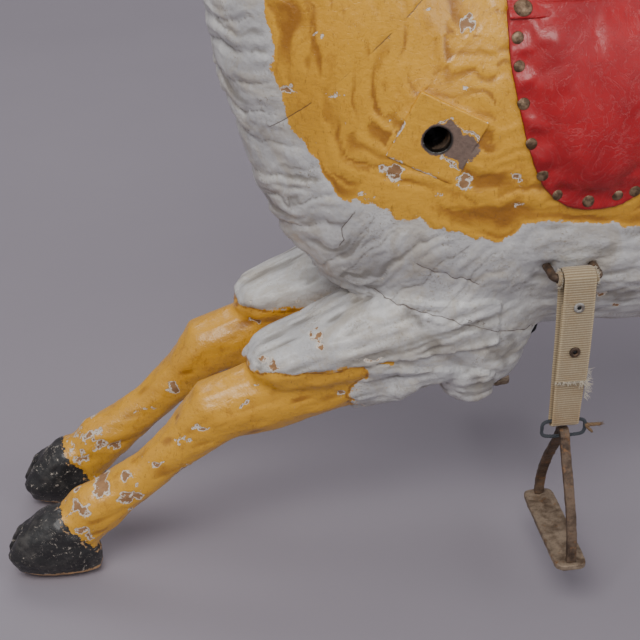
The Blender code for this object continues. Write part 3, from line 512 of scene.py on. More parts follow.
def twine_material(name, dark, light):
    s = Shader(name, roughness=0.75, specular=0.3)
    threads = s.noise(900, 4, 0.65, (1.0, 1.0, 1.0), 0.5)
    s.bump(threads, distance=0.0006)
    return s.finish(s.mix(threads, dark, light))


def floor_material():
    s = Shader("floor", roughness=0.85, specular=0.2)
    tone = s.mix(s.noise(3.0, 4, 0.55), (0.235, 0.212, 0.242), (0.262, 0.238, 0.268))
    return s.finish(tone)


PAINT = paint_material()
WOOD = wood_material()
RUST = rusty_material("rusty_iron", (0.060, 0.038, 0.026), (0.17, 0.115, 0.078), (0.25, 0.125, 0.055), 0.52)
TREAD_RUST = rusty_material("worn_tread", (0.13, 0.088, 0.058), (0.34, 0.26, 0.185), (0.27, 0.13, 0.05), 0.56)
EYELET = rusty_material("bright_eyelet", (0.16, 0.145, 0.13), (0.42, 0.40, 0.37), (0.20, 0.11, 0.06), 0.58)
BLACK = black_steel_material()
LEATHER = leather_material()
NAIL = nail_material()
WEB = webbing_material()
WIRE = twine_material("dark_wire", (0.018, 0.021, 0.025), (0.085, 0.092, 0.105))
FRAY = twine_material("brown_ends", (0.07, 0.04, 0.02), (0.28, 0.18, 0.10))
LINT = twine_material("cotton_lint", (0.50, 0.42, 0.30), (0.80, 0.74, 0.62))

# ---------------------------------------------------------------- the carved skin

BLOCKS = (
    "left_torso_half", "right_torso_half", "neck_block", "head_block",
    "left_front_leg", "right_front_leg", "left_rear_leg", "right_rear_leg",
)
SHAFTS = ((-0.110, 0.407), (0.226, 0.402))
SHAFT_HOLE = 0.0102

# The line between ochre (above) and white (below), from the throat to the back of the thigh
WHITE_LINE = [
    (-0.300, 0.800), (-0.268, 0.730), (-0.255, 0.660), (-0.244, 0.580), (-0.232, 0.520), (-0.229, 0.486),
    (-0.226, 0.456), (-0.215, 0.420), (-0.204, 0.392), (-0.187, 0.371), (-0.170, 0.357), (-0.150, 0.352),
    (-0.132, 0.345), (-0.110, 0.337), (-0.089, 0.329), (-0.060, 0.325), (-0.036, 0.333), (-0.014, 0.337),
    (0.018, 0.332), (0.052, 0.324), (0.100, 0.312), (0.160, 0.290), (0.215, 0.262), (0.262, 0.226),
    (0.300, 0.190), (0.345, 0.160),
]
# The ragged foot of the white hair on the foreleg
TUFT_LINE = [
    (-0.262, 0.260), (-0.258, 0.222), (-0.249, 0.197), (-0.236, 0.201), (-0.218, 0.204), (-0.200, 0.205),
    (-0.186, 0.208), (-0.168, 0.211), (-0.155, 0.212), (-0.158, 0.196), (-0.168, 0.174),
    (-0.160, 0.150), (-0.150, 0.120),
]
FRONT_JOINT = ((-0.140, 0.271), (-0.343, -0.939))
REAR_JOINT = ((0.140, 0.216), (0.41, -0.912))
NECK_JOINT = ((-0.240, 0.396), (-0.160, 0.175))
HEAD_JOINT = ((-0.300, 0.764), (-0.062, 0.092))
FRONT_BACK_X = -0.0065
REAR_FRONT_X = 0.112


def past(joint, x, z):
    """Distance past a glue line, in the direction of its normal."""
    (px, pz), (nx, nz) = joint
    size = math.hypot(nx, nz)
    return ((x - px) * nx + (z - pz) * nz) / size


def rough_skin():
    """One closed skin round all the wooden blocks, from the blocks themselves."""
    meshes = [NODES[name].data for name in BLOCKS]
    extras = []
    for x, z in SHAFTS:
        reach = 0.0985
        wall = [(-reach, SHAFT_HOLE), (-reach, 0.021), (reach, 0.021), (reach, SHAFT_HOLE)]
        extras.append(turned("wall", [*wall, wall[0]], (x, 0, z), (0, 1, 0), 40))
    for name in ("left_front_shaft_plate", "right_front_shaft_plate", "left_rear_shaft_plate", "right_rear_shaft_plate"):
        filler = NODES[name].data.copy()
        middle = [(low + high) / 2 for low, high in zip(*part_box(name))]
        side = math.copysign(1, middle[1])
        filler.transform(Matrix.Translation((0, -side * 0.0016, 0)))
        grow = Matrix.Translation(middle) @ Matrix.Diagonal((1.02, 1.0, 1.02, 1)) @ Matrix.Translation([-c for c in middle])
        filler.transform(grow)
        meshes.append(filler)
    skin = joined("carved_skin", meshes + [e.data for e in extras])
    for extra in extras:
        bpy.data.objects.remove(extra)
    remesh(skin, 0.0021)
    return keep_outer(skin)


def edge_array(mesh):
    edges = np.empty(len(mesh.edges) * 2, dtype=np.int64)
    mesh.edges.foreach_get("vertices", edges)
    return edges.reshape(-1, 2)


def keep_outer(thing):
    """Drops the hollows and dowel holes that are left inside."""
    mesh = thing.data
    edges = edge_array(mesh)
    label = np.arange(len(mesh.vertices))
    while True:
        low = np.minimum(label[edges[:, 0]], label[edges[:, 1]])
        new = label.copy()
        np.minimum.at(new, edges[:, 0], low)
        np.minimum.at(new, edges[:, 1], low)
        new = new[new]
        new = new[new]
        if np.array_equal(new, label):
            break
        label = new
    co, _ = arrays(mesh)
    outer = label[np.argmin(co[:, 0])]
    bm = bmesh.new()
    bm.from_mesh(mesh)
    bm.verts.ensure_lookup_table()
    drop = [bm.verts[int(i)] for i in np.nonzero(label != outer)[0]]
    bmesh.ops.delete(bm, geom=drop, context="VERTS")
    bm.to_mesh(mesh)
    bm.free()
    return thing


def relax(co, edges, weight, rounds):
    """Moves every point towards the middle of its neighbours."""
    count = len(co)
    degree = np.bincount(edges.ravel(), minlength=count)
    for _ in range(rounds):
        total = np.empty_like(co)
        for axis in range(3):
            total[:, axis] = np.bincount(edges[:, 0], co[edges[:, 1], axis], count) + np.bincount(
                edges[:, 1], co[edges[:, 0], axis], count
            )
        co = co + (total / degree[:, None] - co) * weight[:, None]
    return co


def spots(co, side, places):
    """How far inside a round spot every point lies: 1 at a centre, 0 at its rim."""
    best = np.zeros(len(co))
    own = co[:, 1] * side > 0
    for x, z, rx, rz in places:
        far = np.hypot((co[:, 0] - x) / rx, (co[:, 2] - z) / rz)
        best = np.maximum(best, np.where(own, 1 - far, 0))
    return best


LEFT_CHIPS = [
    (-0.141, 0.381, 0.015, 0.009), (-0.087, 0.372, 0.011, 0.013), (-0.087, 0.388, 0.007, 0.005),
    (-0.051, 0.374, 0.009, 0.004), (-0.219, 0.441, 0.006, 0.009), (-0.395, 0.074, 0.012, 0.010),
    (-0.376, 0.088, 0.016, 0.012), (-0.352, 0.098, 0.010, 0.007), (-0.330, 0.112, 0.009, 0.006),
    (-0.290, 0.150, 0.008, 0.007), (-0.256, 0.168, 0.010, 0.006), (-0.229, 0.206, 0.012, 0.006),
    (-0.196, 0.226, 0.010, 0.005), (-0.152, 0.216, 0.011, 0.004), (-0.174, 0.180, 0.008, 0.005),
    (-0.062, 0.158, 0.018, 0.006), (-0.140, 0.183, 0.010, 0.004), (-0.085, 0.489, 0.007, 0.007),
    (-0.115, 0.499, 0.008, 0.005), (0.030, 0.262, 0.011, 0.005), (0.050, 0.243, 0.009, 0.005),
    (0.250, 0.300, 0.012, 0.008), (0.330, 0.240, 0.010, 0.008), (0.420, 0.090, 0.010, 0.010),
    (0.180, 0.480, 0.010, 0.007), (-0.350, 0.770, 0.010, 0.006), (-0.260, 0.640, 0.010, 0.008),
]
RIGHT_CHIPS = [
    (-0.230, 0.380, 0.012, 0.009), (-0.150, 0.420, 0.010, 0.008), (-0.385, 0.078, 0.015, 0.010),
    (-0.310, 0.126, 0.012, 0.008), (-0.235, 0.188, 0.008, 0.006), (-0.060, 0.158, 0.018, 0.006),
    (0.040, 0.300, 0.012, 0.006), (0.160, 0.470, 0.012, 0.008), (0.300, 0.260, 0.012, 0.010),
    (0.400, 0.140, 0.010, 0.012), (0.060, 0.235, 0.012, 0.006), (-0.330, 0.790, 0.010, 0.006),
    (-0.180, 0.600, 0.012, 0.009), (0.270, 0.460, 0.010, 0.007),
]
LEFT_CRACKS = [
    [
        (-0.150, 0.266), (-0.128, 0.258), (-0.112, 0.255), (-0.090, 0.247), (-0.070, 0.243), (-0.048, 0.233),
        (-0.020, 0.229),
    ],
    [(-0.170, 0.343), (-0.176, 0.331), (-0.174, 0.321), (-0.178, 0.312)],
    [(-0.120, 0.300), (-0.104, 0.291), (-0.092, 0.287), (-0.070, 0.280)],
]


def carve(skin):
    """Cuts the hair, tufts, cracks and chips into the skin, and stores where each paint lies and where painted shade
    falls: in the carving's hollows, under the tuft and in the shaft bores.
    """
    mesh = skin.data
    co, _ = arrays(mesh)
    edges = edge_array(mesh)
    step = 1
    x, y, z = co.T
    front = past(FRONT_JOINT, x, z)
    rear = past(REAR_JOINT, x, z)
    leg = np.maximum(ramp(front, 0.0, 0.03) * (x < 0.01), ramp(rear, 0.0, 0.04) * (x > 0.09))
    head = ramp(past(HEAD_JOINT, x, z), -0.02, 0.02)
    broad = (1 - leg) * (1 - head)
    near_hole = np.minimum(*[np.maximum(abs(x - hx), abs(z - hz)) for hx, hz in SHAFTS])
    broad = broad * ramp(near_hole, 0.030, 0.050)
    hoof_zone = ramp(0.070 - z, 0, 0.02)
    co = relax(co, edges, 0.5 * (1 - 0.75 * hoof_zone), 12 // step ** 2 + 1)
    co = relax(co, edges, 0.5 * broad, 90 // step ** 2)
    set_points(mesh, co)
    co, normal = arrays(mesh)
    x, y, z = co.T
    sided_seed = np.column_stack((x, y, z))

    white, along = along_line(x, z, WHITE_LINE)

    tuft, _ = along_line(x, z, TUFT_LINE)
    tuft = -tuft
    front = past(FRONT_JOINT, x, z)
    rear = past(REAR_JOINT, x, z)
    fringe_at = np.column_stack((x, y * 0.6, z))
    fringe = fractal(fringe_at, (0.030, 0.011, 0.009), 5) * 0.0065
    fringe = fringe + noise(fringe_at, (0.02, 0.006, 0.005), 15) * 0.003
    on_front = (front > -0.02) & (x < 0.02) & (z < 0.262)
    tuft = tuft + fringe
    white = white + fractal(sided_seed, 0.03, 9) * 0.008 + noise(sided_seed, (0.006, 0.006, 0.02), 3) * 0.003
    rump = 0.045 - np.hypot(x - 0.325, (z - 0.40) * 0.6)
    muzzle = np.minimum(-0.395 - x, 0.02)
    white_all = np.where(on_front & (x < -0.135), tuft, white)
    white_all = np.maximum(white_all, rump + fractal(sided_seed, 0.02, 31) * 0.006)
    head_zone = past(HEAD_JOINT, x, z) > 0.0
    chin = (0.765 - z) - 0.45 * (x + 0.33)
    jaw = np.maximum(chin * 0.5 - 0.006, muzzle) + fractal(sided_seed, 0.02, 8) * 0.006
    white_all = np.where(head_zone, jaw, white_all)
    hind = (rear > 0.0) & (x > 0.1)
    inner = 0.034 - abs(y) + 0.006
    thigh = np.maximum(np.minimum(white_all, 0.05), inner + fractal(sided_seed, 0.02, 4) * 0.008)
    white_all = np.where(hind & (z < 0.30), thigh, white_all)
    white_all = np.where((x > 0.30) & (z < 0.18), inner - 0.01, white_all)
    white_all = np.where((x < -0.262) & (z < 0.28), -0.02, white_all)

    hoof_front = -0.79 * (x + 0.411) - 0.61 * (z - 0.064)
    hoof_rear = 0.058 - z - 0.22 * (x - 0.42)
    hoof = np.where(x < 0, np.where(z < 0.12, hoof_front, -0.05), hoof_rear)
    hoof = hoof + fractal(sided_seed, 0.014, 21) * 0.004

    # hair: locks across the ruff, finer grooves elsewhere
    sweep = fractal(sided_seed, 0.07, 40) * 0.020
    ruff = ramp(white, -0.002, 0.012) * (front < 0.01) * ramp(-x, -0.02, 0.10)
    phase = (along + 0.55 * white + sweep + 0.25 * abs(y)) / 0.023
    lock = abs(np.sin(math.pi * phase)) ** 0.55
    ripple = abs(np.sin(math.pi * (phase * 2.3 + fractal(sided_seed, 0.04, 50) * 1.2))) ** 0.5
    edge_fade = ramp(0.085 - abs(y), 0.0, 0.07)
    height = ruff * ((lock - 0.55) * (0.0015 + 0.0026 * edge_fade) + (ripple - 0.6) * 0.0011)
    # hollow marks painted shade: dark paint in the dips of the carved relief.
    hollow = ruff * np.clip(1.2 - 2.3 * lock, 0, 1) * 0.8
    strands = noise(np.column_stack((along + 0.55 * white + sweep, white, y)), (0.0055, 0.045, 0.04), 60)
    height += ruff * strands * 0.0015
    hollow = np.maximum(hollow, ruff * np.clip(-strands * 1.5 - 0.25, 0, 1))

    body = (1 - ramp(white, -0.004, 0.004)) * (front < 0) * (z > 0.18)
    comb = fractal(np.column_stack((along + sweep * 0.5, white + sweep, y)), (0.065, 0.010, 0.06), 70, 2)
    comb_fine = noise(np.column_stack((along, white + sweep, y)), (0.05, 0.0048, 0.05), 74)
    groove = np.clip(-comb * 1.6, 0, 1) ** 1.2
    height += body * (comb * 0.0010 + comb_fine * 0.0008 - groove * 0.0004)
    hollow = np.maximum(hollow, body * np.maximum(groove * 0.9, np.clip(-comb_fine * 1.6 - 0.35, 0, 1) * 0.7))

    belly = ramp(white, 0.0, 0.01) * (x > -0.06) * (z > 0.15) * (1 - ruff)
    lumps = fractal(np.column_stack((x + z * 0.5, y, z - x * 0.2)), (0.030, 0.05, 0.012), 80, 3)
    height += belly * lumps * 0.0030
    hollow = np.maximum(hollow, belly * np.clip(-lumps * 1.9 - 0.25, 0, 1))

    tuft_zone = ramp(tuft, -0.001, 0.0035) * on_front * (x < -0.05)
    down_leg = np.column_stack((x * 0.96 + z * 0.28, y, z * 0.96 - x * 0.28))
    fibres = noise(down_leg, (0.055, 0.0062, 0.0055), 90) + 0.5 * noise(down_leg, (0.04, 0.0035, 0.0032), 91)
    height += tuft_zone * (0.0028 + fibres * 0.0014)
    hollow = np.maximum(hollow, tuft_zone * np.clip(-fibres * 1.3 - 0.1, 0, 1) * 0.85)
    # Painted shadow: a dark line just under the ragged edge of the tuft.
    tuft_shadow_line = on_front * (x < -0.13) * np.clip(1 - abs(tuft + 0.0016) / 0.0016, 0, 1)
    hollow = np.maximum(hollow, tuft_shadow_line * 0.9)
    elbow = ramp(front, 0.0, 0.01) * (x > -0.13) * (x < 0.0) * (z < 0.26)
    facets = fractal(np.column_stack((x + z * 0.6, y, z - 0.6 * x)), (0.016, 0.03, 0.034), 95, 3)
    height += elbow * facets * 0.0032
    hollow = np.maximum(hollow, elbow * np.clip(-facets * 1.8 - 0.3, 0, 1))

    limb = ((front > 0.02) & (x < -0.13) | (rear > 0.05) & (x > 0.12)) * (1 - ramp(hoof, -0.004, 0.0))
    limb = limb * (1 - tuft_zone)
    knots = fractal(sided_seed, (0.030, 0.022, 0.022), 100, 3)
    nicks = noise(down_leg, (0.022, 0.008, 0.007), 104)
    height += limb * (knots * 0.0019 + nicks * 0.0007)
    hollow = np.maximum(hollow, limb * np.clip(-nicks * 1.5 - 0.45, 0, 1) * 0.7)
    horn = ramp(hoof, 0.0, 0.003)
    height += horn * (fractal(sided_seed, 0.009, 110, 3) * 0.0014 - 0.0006)
    height -= 0.0014 * np.clip(1 - abs(hoof) / 0.0022, 0, 1)
    edge = horn * np.clip(1.15 - z / 0.012, 0, 1) + horn * np.clip(1 - abs(hoof) / 0.006, 0, 1) * 0.7
    face_zone = head_zone * fractal(sided_seed, (0.02, 0.02, 0.012), 120, 3)
    height += face_zone * 0.0010
    hollow = np.maximum(hollow, head_zone * np.clip(-face_zone * 1.5 - 0.3, 0, 1) * 0.6)

    warp = np.column_stack([
        fractal(sided_seed, 0.011, 170 + k, 3) * 0.0085 + noise(sided_seed, 0.0035, 180 + k) * 0.002
        for k in range(3)
    ])
    warped = co + warp
    chip = np.maximum(spots(warped, -1, LEFT_CHIPS), spots(warped, 1, RIGHT_CHIPS))
    wx, wy, wz = warped.T
    streaky = np.column_stack((wx * 0.96 + wz * 0.28, wy, wz * 0.96 - wx * 0.28))
    scattered = fractal(streaky, (0.026, 0.012, 0.010), 130, 3)
    chip = np.maximum(chip, limb * ramp(0.24 - z, 0.0, 0.15) * np.clip(scattered * 1.9 - 0.16, 0, 0.72))
    chip = np.maximum(chip, np.clip(scattered * 1.4 - 0.50, 0, 0.52))
    tips = on_front * np.clip(1 - abs(tuft - 0.004) / 0.006, 0, 1) * np.clip(0.35 + scattered, 0, 0.62)
    chip = np.maximum(chip, tips)
    chip_noise = chip + fractal(sided_seed, 0.006, 140, 2) * 0.25
    height -= 0.0005 * ramp(chip_noise, 0.42, 0.6)
    rust = spots(co, -1, [(-0.090, 0.400, 0.022, 0.018)])

    crack = np.zeros(len(co))
    split = np.full(len(co), 0.05)
    wander = noise(sided_seed, 0.009, 150) * 0.0022
    for line in LEFT_CRACKS:
        far, _ = along_line(x + wander, z + wander, line)
        near_line = np.where(y < 0, np.clip(1.5 - abs(far) / 0.0040, 0, 1), 0)
        split = np.where(near_line > crack, far, split)
        crack = np.maximum(crack, near_line)
    for joint, seed in ((FRONT_JOINT, 160), (NECK_JOINT, 161), (REAR_JOINT, 162), (HEAD_JOINT, 163)):
        far = past(joint, x, z)
        limit = (x < 0.0) if joint is FRONT_JOINT else (x > 0.1) if joint is REAR_JOINT else (z > 0.3)
        strength = ramp(fractal(sided_seed, 0.035, seed), 0.12, 0.4)
        near_line = limit * strength * np.clip(1.5 - abs(far) / 0.0040, 0, 1)
        split = np.where(near_line > crack, far, split)
        crack = np.maximum(crack, near_line)
    height -= np.clip(1 - abs(split) / 0.0022, 0, 1) * crack * 0.0008
    # Painted shade inside the shaft bores.
    bore = np.clip(1 - near_hole_of(x, z) / 0.0012, 0, 1)

    keep = ramp(near_hole_of(x, z), 0.0, 0.004)
    co = co + normal * (height * keep)[:, None]
    co[:, 2] = np.maximum(co[:, 2], 0.0)
    set_points(mesh, co)
    for name, values in (
        ("white", np.clip(white_all * 100, -3, 3)), ("hoof", np.clip(hoof * 100, -3, 3)), ("hollow", hollow),
        ("chip", chip), ("rust", rust), ("crack", crack), ("edge", edge), ("split", split * 100), ("bore", bore),
    ):
        attribute = mesh.attributes.new(name, "FLOAT", "POINT")
        attribute.data.foreach_set("value", values.astype(np.float32))
    return skin


def near_hole_of(x, z):
    """Distance outside the rim of the nearer shaft hole."""
    return np.minimum(*[np.hypot(x - hx, z - hz) - 0.012 for hx, hz in SHAFTS])


def set_points(mesh, co):
    mesh.vertices.foreach_set("co", co.ravel())
    mesh.update()


def saw(skin):
    """Cuts the skin along the glue lines, into one piece for each block."""
    bm = bmesh.new()
    bm.from_mesh(skin.data)
    joints = (FRONT_JOINT, REAR_JOINT, NECK_JOINT, HEAD_JOINT)
    planes = [((px, 0, pz), (nx, 0, nz)) for (px, pz), (nx, nz) in joints]
    planes += [((FRONT_BACK_X, 0, 0), (1, 0, 0)), ((REAR_FRONT_X, 0, 0), (1, 0, 0)), ((0, 0, 0), (0, 1, 0))]
    for point, direction in planes:
        geom = bm.verts[:] + bm.edges[:] + bm.faces[:]
        bmesh.ops.bisect_plane(bm, geom=geom, dist=1e-6, plane_co=point, plane_no=direction)
    groups = {name: [] for name in BLOCKS}
    for face in bm.faces:
        middle = face.calc_center_median()
        mx, my, mz = middle
        side = "left" if my < 0 else "right"
        if past(HEAD_JOINT, mx, mz) > 0 and past(NECK_JOINT, mx, mz) > 0:
            groups["head_block"].append(face.index)
        elif past(NECK_JOINT, mx, mz) > 0:
            groups["neck_block"].append(face.index)
        elif past(FRONT_JOINT, mx, mz) > 0 and mx < FRONT_BACK_X:
            groups[f"{side}_front_leg"].append(face.index)
        elif past(REAR_JOINT, mx, mz) > 0 and mx > REAR_FRONT_X:
            groups[f"{side}_rear_leg"].append(face.index)
        else:
            groups[f"{side}_torso_half"].append(face.index)
    whole = bpy.data.meshes.new("whole")
    bm.to_mesh(whole)
    bm.free()
    whole.shade_smooth()
    pieces = []
    for name, own in groups.items():
        keep = set(own)
        part = bmesh.new()
        part.from_mesh(whole)
        part.faces.ensure_lookup_table()
        drop = [f for f in part.faces if f.index not in keep]
        bmesh.ops.delete(part, geom=drop, context="FACES")
        mesh = bpy.data.meshes.new(name)
        part.to_mesh(mesh)
        part.free()
        mesh.shade_smooth()
        made = new_object(f"carved_{name}", mesh)
        place(made, FIGURE, "ochre_paint", PAINT, name)
        pieces.append(made)
    bpy.data.objects.remove(skin)
    return pieces


WOODWORK = saw(carve(rough_skin()))

# ---------------------------------------------------------------- worn iron, plates, ears and tail


def search_tree(things):
    bm = bmesh.new()
    for thing in things:
        bm.from_mesh(thing.data)
    return BVHTree.FromBMesh(bm)


def store(mesh, **values):
    """Keeps a number for every point under each name."""
    for name, value in values.items():
        full = np.array(np.broadcast_to(value, len(mesh.vertices)), dtype=np.float32)
        mesh.attributes.new(name, "FLOAT", "POINT").data.foreach_set("value", full)


def weathered(name, node, voxel, body, slot, material, pits=0.0002, size=0.003, rounds=2):
    """A CAD piece with worn, rounded edges and a pitted face."""
    thing = joined(name, [NODES[node].data])
    remesh(thing, voxel * (1.0))
    co, _ = arrays(thing.data)
    set_points(thing.data, relax(co, edge_array(thing.data), np.full(len(co), 0.5), rounds))
    co, normal = arrays(thing.data)
    set_points(thing.data, co + normal * (fractal(co, size, 300, 3) * pits)[:, None])
    thing.data.shade_smooth()
    return place(thing, body, slot, material, node)


def painted(name, node, voxel, white=-3.0, relief=0.0004):
    """A CAD piece with the carving's paint on it."""
    made = weathered(name, node, voxel, FIGURE, "ochre_paint", PAINT, relief, 0.006)
    co, normal = arrays(made.data)
    own = co + np.column_stack([fractal(co, 0.010, 400 + k, 3) * 0.007 for k in range(3)])
    chip = np.clip(fractal(own, 0.012, 410, 3) * 1.3 - 0.5, 0, 0.5)
    rust = np.zeros(len(co))
    bore = np.zeros(len(co))
    if "plate" in node:
        low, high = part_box(node)
        x, z = co[:, 0] - (low.x + high.x) / 2, co[:, 2] - (low.z + high.z) / 2
        turn = math.radians(-26)
        u, v = x * math.cos(turn) + z * math.sin(turn), z * math.cos(turn) - x * math.sin(turn)
        rim = 0.028 - np.maximum(abs(u), abs(v))
        patches = [(-0.092, 0.401, 0.019, 0.022), (-0.086, 0.386, 0.013, 0.012), (-0.101, 0.413, 0.012, 0.010)]
        worn = spots(own, -1, patches)
        worn = np.maximum(worn, spots(own, 1, [(-0.098, 0.395, 0.016, 0.014)]))
        worn = np.maximum(worn, spots(own, -1, [(0.240, 0.392, 0.016, 0.014)]))
        outer = abs(co[:, 1]).max()
        # Painted shade on the bore's wall where it passes through the plate.
        bore = np.clip(1.6 - abs(np.hypot(x, z) - SHAFT_HOLE) / 0.0012, 0, 1)
        bore = bore * ramp(outer - abs(co[:, 1]), 0.0006, 0.0018)
        bore = np.where(np.hypot(x, z) < 0.0122, bore, 0)
        ring = np.clip(1.1 - abs(np.hypot(x, z) - 0.0105) / 0.0035, 0, 1)
        rust = np.maximum(np.minimum(worn * 1.35, 1.0), ring * 0.85)
        loose = ramp(fractal(own, 0.02, 420), 0.0, 0.4)
        chip = np.maximum(chip, np.clip(1 - abs(rim) / 0.0045, 0, 1) * 0.72 * loose)
        chip = np.maximum(chip, np.clip(1 - abs(worn - 0.26) / 0.12, 0, 1) * 0.75)
        chip = np.maximum(chip, spots(own, -1, LEFT_CHIPS))
    if node == "tail":
        white = np.clip(-normal[:, 2] * 3 + 0.6 + fractal(co, 0.012, 430) * 1.6, -3, 3)
    # The dips of this hair noise get painted shade through hollow.
    hair = fractal(co, (0.02, 0.006, 0.012), 440, 2)
    store(
        made.data, white=white, hoof=-3.0, hollow=np.clip(-hair * 1.5 - 0.1, 0, 0.8), chip=chip, rust=rust,
        crack=0.0, edge=0.0, split=3.0, bore=bore,
    )
    return made


for side, label in SIDES:
    for place_name in ("front", "rear"):
        painted(f"painted_{label}_{place_name}_plate", f"{label}_{place_name}_shaft_plate", 0.0009)
    painted(f"carved_{label}_ear", f"{label}_ear", 0.0013, relief=0.0009)
    weathered(
        f"carved_{label}_antler", f"{label}_antler", 0.0018, FIGURE, "antler_paint", antler_material(), 0.0012,
        (0.006, 0.006, 0.02),
    )
painted("carved_tail", "tail", 0.0014, relief=0.0012)
weathered("forged_bracket", "belly_bracket", 0.001, FIGURE, "black_steel", BLACK)

# ---------------------------------------------------------------- the saddle

SADDLE_X = 0.012
FLAP_TOP = 0.488
SKIRT_FRONT, SKIRT_REAR = -0.0575, 0.0815
FLAP_FRONT = [
    (-0.0565, 0.499), (-0.0567, 0.482), (-0.0560, 0.463), (-0.0532, 0.446), (-0.0490, 0.428), (-0.0430, 0.405),
    (-0.0360, 0.385), (-0.0280, 0.368), (-0.0180, 0.357), (-0.0070, 0.3500), (0.0060, 0.3470),
]
FLAP_FRONT = [(x - 0.0014, z - 0.0008 * (z < 0.42)) for x, z in FLAP_FRONT]
FLAP_OUTLINE = FLAP_FRONT + [(2 * SADDLE_X - x, z) for x, z in FLAP_FRONT[::-1]]
FRONT_NAILS = [
    (-0.0512, 0.478), (-0.0505, 0.459), (-0.0475, 0.433), (-0.0405, 0.403), (-0.0305, 0.377), (-0.0175, 0.3605),
]
FOOT_NAILS = [(0.0060, 0.3545), (0.0285, 0.3575)]
REAR_NAILS = [(2 * SADDLE_X - x, z) for x, z in FRONT_NAILS[::-1]]
FLAP_NAILS = FRONT_NAILS + FOOT_NAILS + REAR_NAILS


def outline_distance(x, z, outline, closed=True):
    """Distance to an outline, positive inside it, and the nearest point on it."""
    best = np.full(len(x), 1e9)
    near = np.zeros((len(x), 2))
    inside = np.zeros(len(x), dtype=bool)
    ends = outline[1:] + outline[:1] if closed else outline[1:]
    for (ax, az), (bx, bz) in zip(outline, ends):
        dx, dz = bx - ax, bz - az
        t = np.clip(((x - ax) * dx + (z - az) * dz) / max(dx * dx + dz * dz, 1e-12), 0, 1)
        qx, qz = ax + t * dx, az + t * dz
        far = np.hypot(x - qx, z - qz)
        closer = far < best
        best = np.where(closer, far, best)
        near[closer] = np.column_stack((qx, qz))[closer]
        if az != bz:
            crosses = ((az > z) != (bz > z)) & (x < dx * (z - az) / dz + ax)
            inside ^= crosses
    return np.where(inside, best, -best), near


def grid_cells(keep):
    """The cells of a grid whose four corners are kept, the points they use, and the cells in point numbers."""
    rows, columns = keep.shape
    number = -np.ones((rows, columns), dtype=int)
    cells = []
    for i in range(rows - 1):
        for j in range(columns - 1):
            if keep[i, j] and keep[i + 1, j] and keep[i, j + 1] and keep[i + 1, j + 1]:
                cells.append(((i, j), (i + 1, j), (i + 1, j + 1), (i, j + 1)))
    used = sorted({corner for cell in cells for corner in cell})
    for k, corner in enumerate(used):
        number[corner] = k
    return [[int(number[c]) for c in cell] for cell in cells], used


def rim_edges(faces):
    count = {}
    for face in faces:
        for a, b in zip(face, face[1:] + face[:1]):
            key = (min(a, b), max(a, b))
            count[key] = (count.get(key, (0,))[0] + 1, a, b)
    return [(a, b) for total, a, b in count.values() if total == 1]


def two_layers(name, base, normal, faces, under, thick):
    """A closed pad: an under side at a height above base, and a face side thick above that."""
    count = len(base)
    back = base + normal * under[:, None]
    front = base + normal * (under + thick)[:, None]
    mesh = bpy.data.meshes.new(name)
    skins = [face[::-1] for face in faces] + [[v + count for v in face] for face in faces]
    skins += [[a, b, b + count, a + count] for a, b in rim_edges(faces)]
    mesh.from_pydata(np.vstack((back, front)).tolist(), [], skins)
    bm = bmesh.new()
    bm.from_mesh(mesh)
    bmesh.ops.recalc_face_normals(bm, faces=bm.faces)
    bm.to_mesh(mesh)
    bm.free()
    return new_object(name, mesh)


def swell(thing, held, cap, pressure=4.0, slack=0.0):
    """Lets the pad fill out under pressure as cloth, with the held points fixed, and applies the result."""
    start, _ = arrays(thing.data)
    group = thing.vertex_groups.new(name="held")
    group.add([int(i) for i in np.nonzero(held)[0]], 1.0, "REPLACE")
    cloth = thing.modifiers.new("cloth", "CLOTH")
    settings = cloth.settings
    settings.quality = 5
    settings.mass = 0.25
    settings.tension_stiffness = 15
    settings.compression_stiffness = 15
    settings.shear_stiffness = 8
    settings.bending_stiffness = 1.5
    settings.use_pressure = True
    settings.uniform_pressure_force = pressure
    settings.shrink_min = -slack
    settings.effector_weights.gravity = 0
    if held.any():
        settings.vertex_group_mass = "held"
    cloth.collision_settings.use_collision = False
    scene = bpy.context.scene
    for frame_number in range(1, 21):
        scene.frame_set(frame_number)
    evaluated(thing)
    scene.frame_set(1)
    co, _ = arrays(thing.data)
    move = co - start
    length = np.maximum(np.linalg.norm(move, axis=1), 1e-9)
    set_points(thing.data, start + move * np.minimum(1, cap / length)[:, None])
    thing.vertex_groups.clear()
    smoother = thing.modifiers.new("smooth", "SUBSURF")
    smoother.levels = smoother.render_levels = 1
    evaluated(thing)
    thing.data.shade_smooth()
    return thing


def smooth_base(points, faces, rounds):
    """Evens a draped sheet so that it bridges the hollows under it."""
    mesh = bpy.data.meshes.new("base")
    mesh.from_pydata(points.tolist(), [], faces)
    edges = edge_array(mesh)
    rim = np.zeros(len(points), dtype=bool)
    for a, b in rim_edges(faces):
        rim[a] = rim[b] = True
    even = relax(points, edges, np.where(rim, 0.0, 0.5), rounds)
    set_points(mesh, even)
    _, normal = arrays(mesh)
    bpy.data.meshes.remove(mesh)
    return even, normal


def nail_distance(x, z, nails):
    return np.min([np.hypot(x - nx, z - nz) for nx, nz in nails], axis=0)


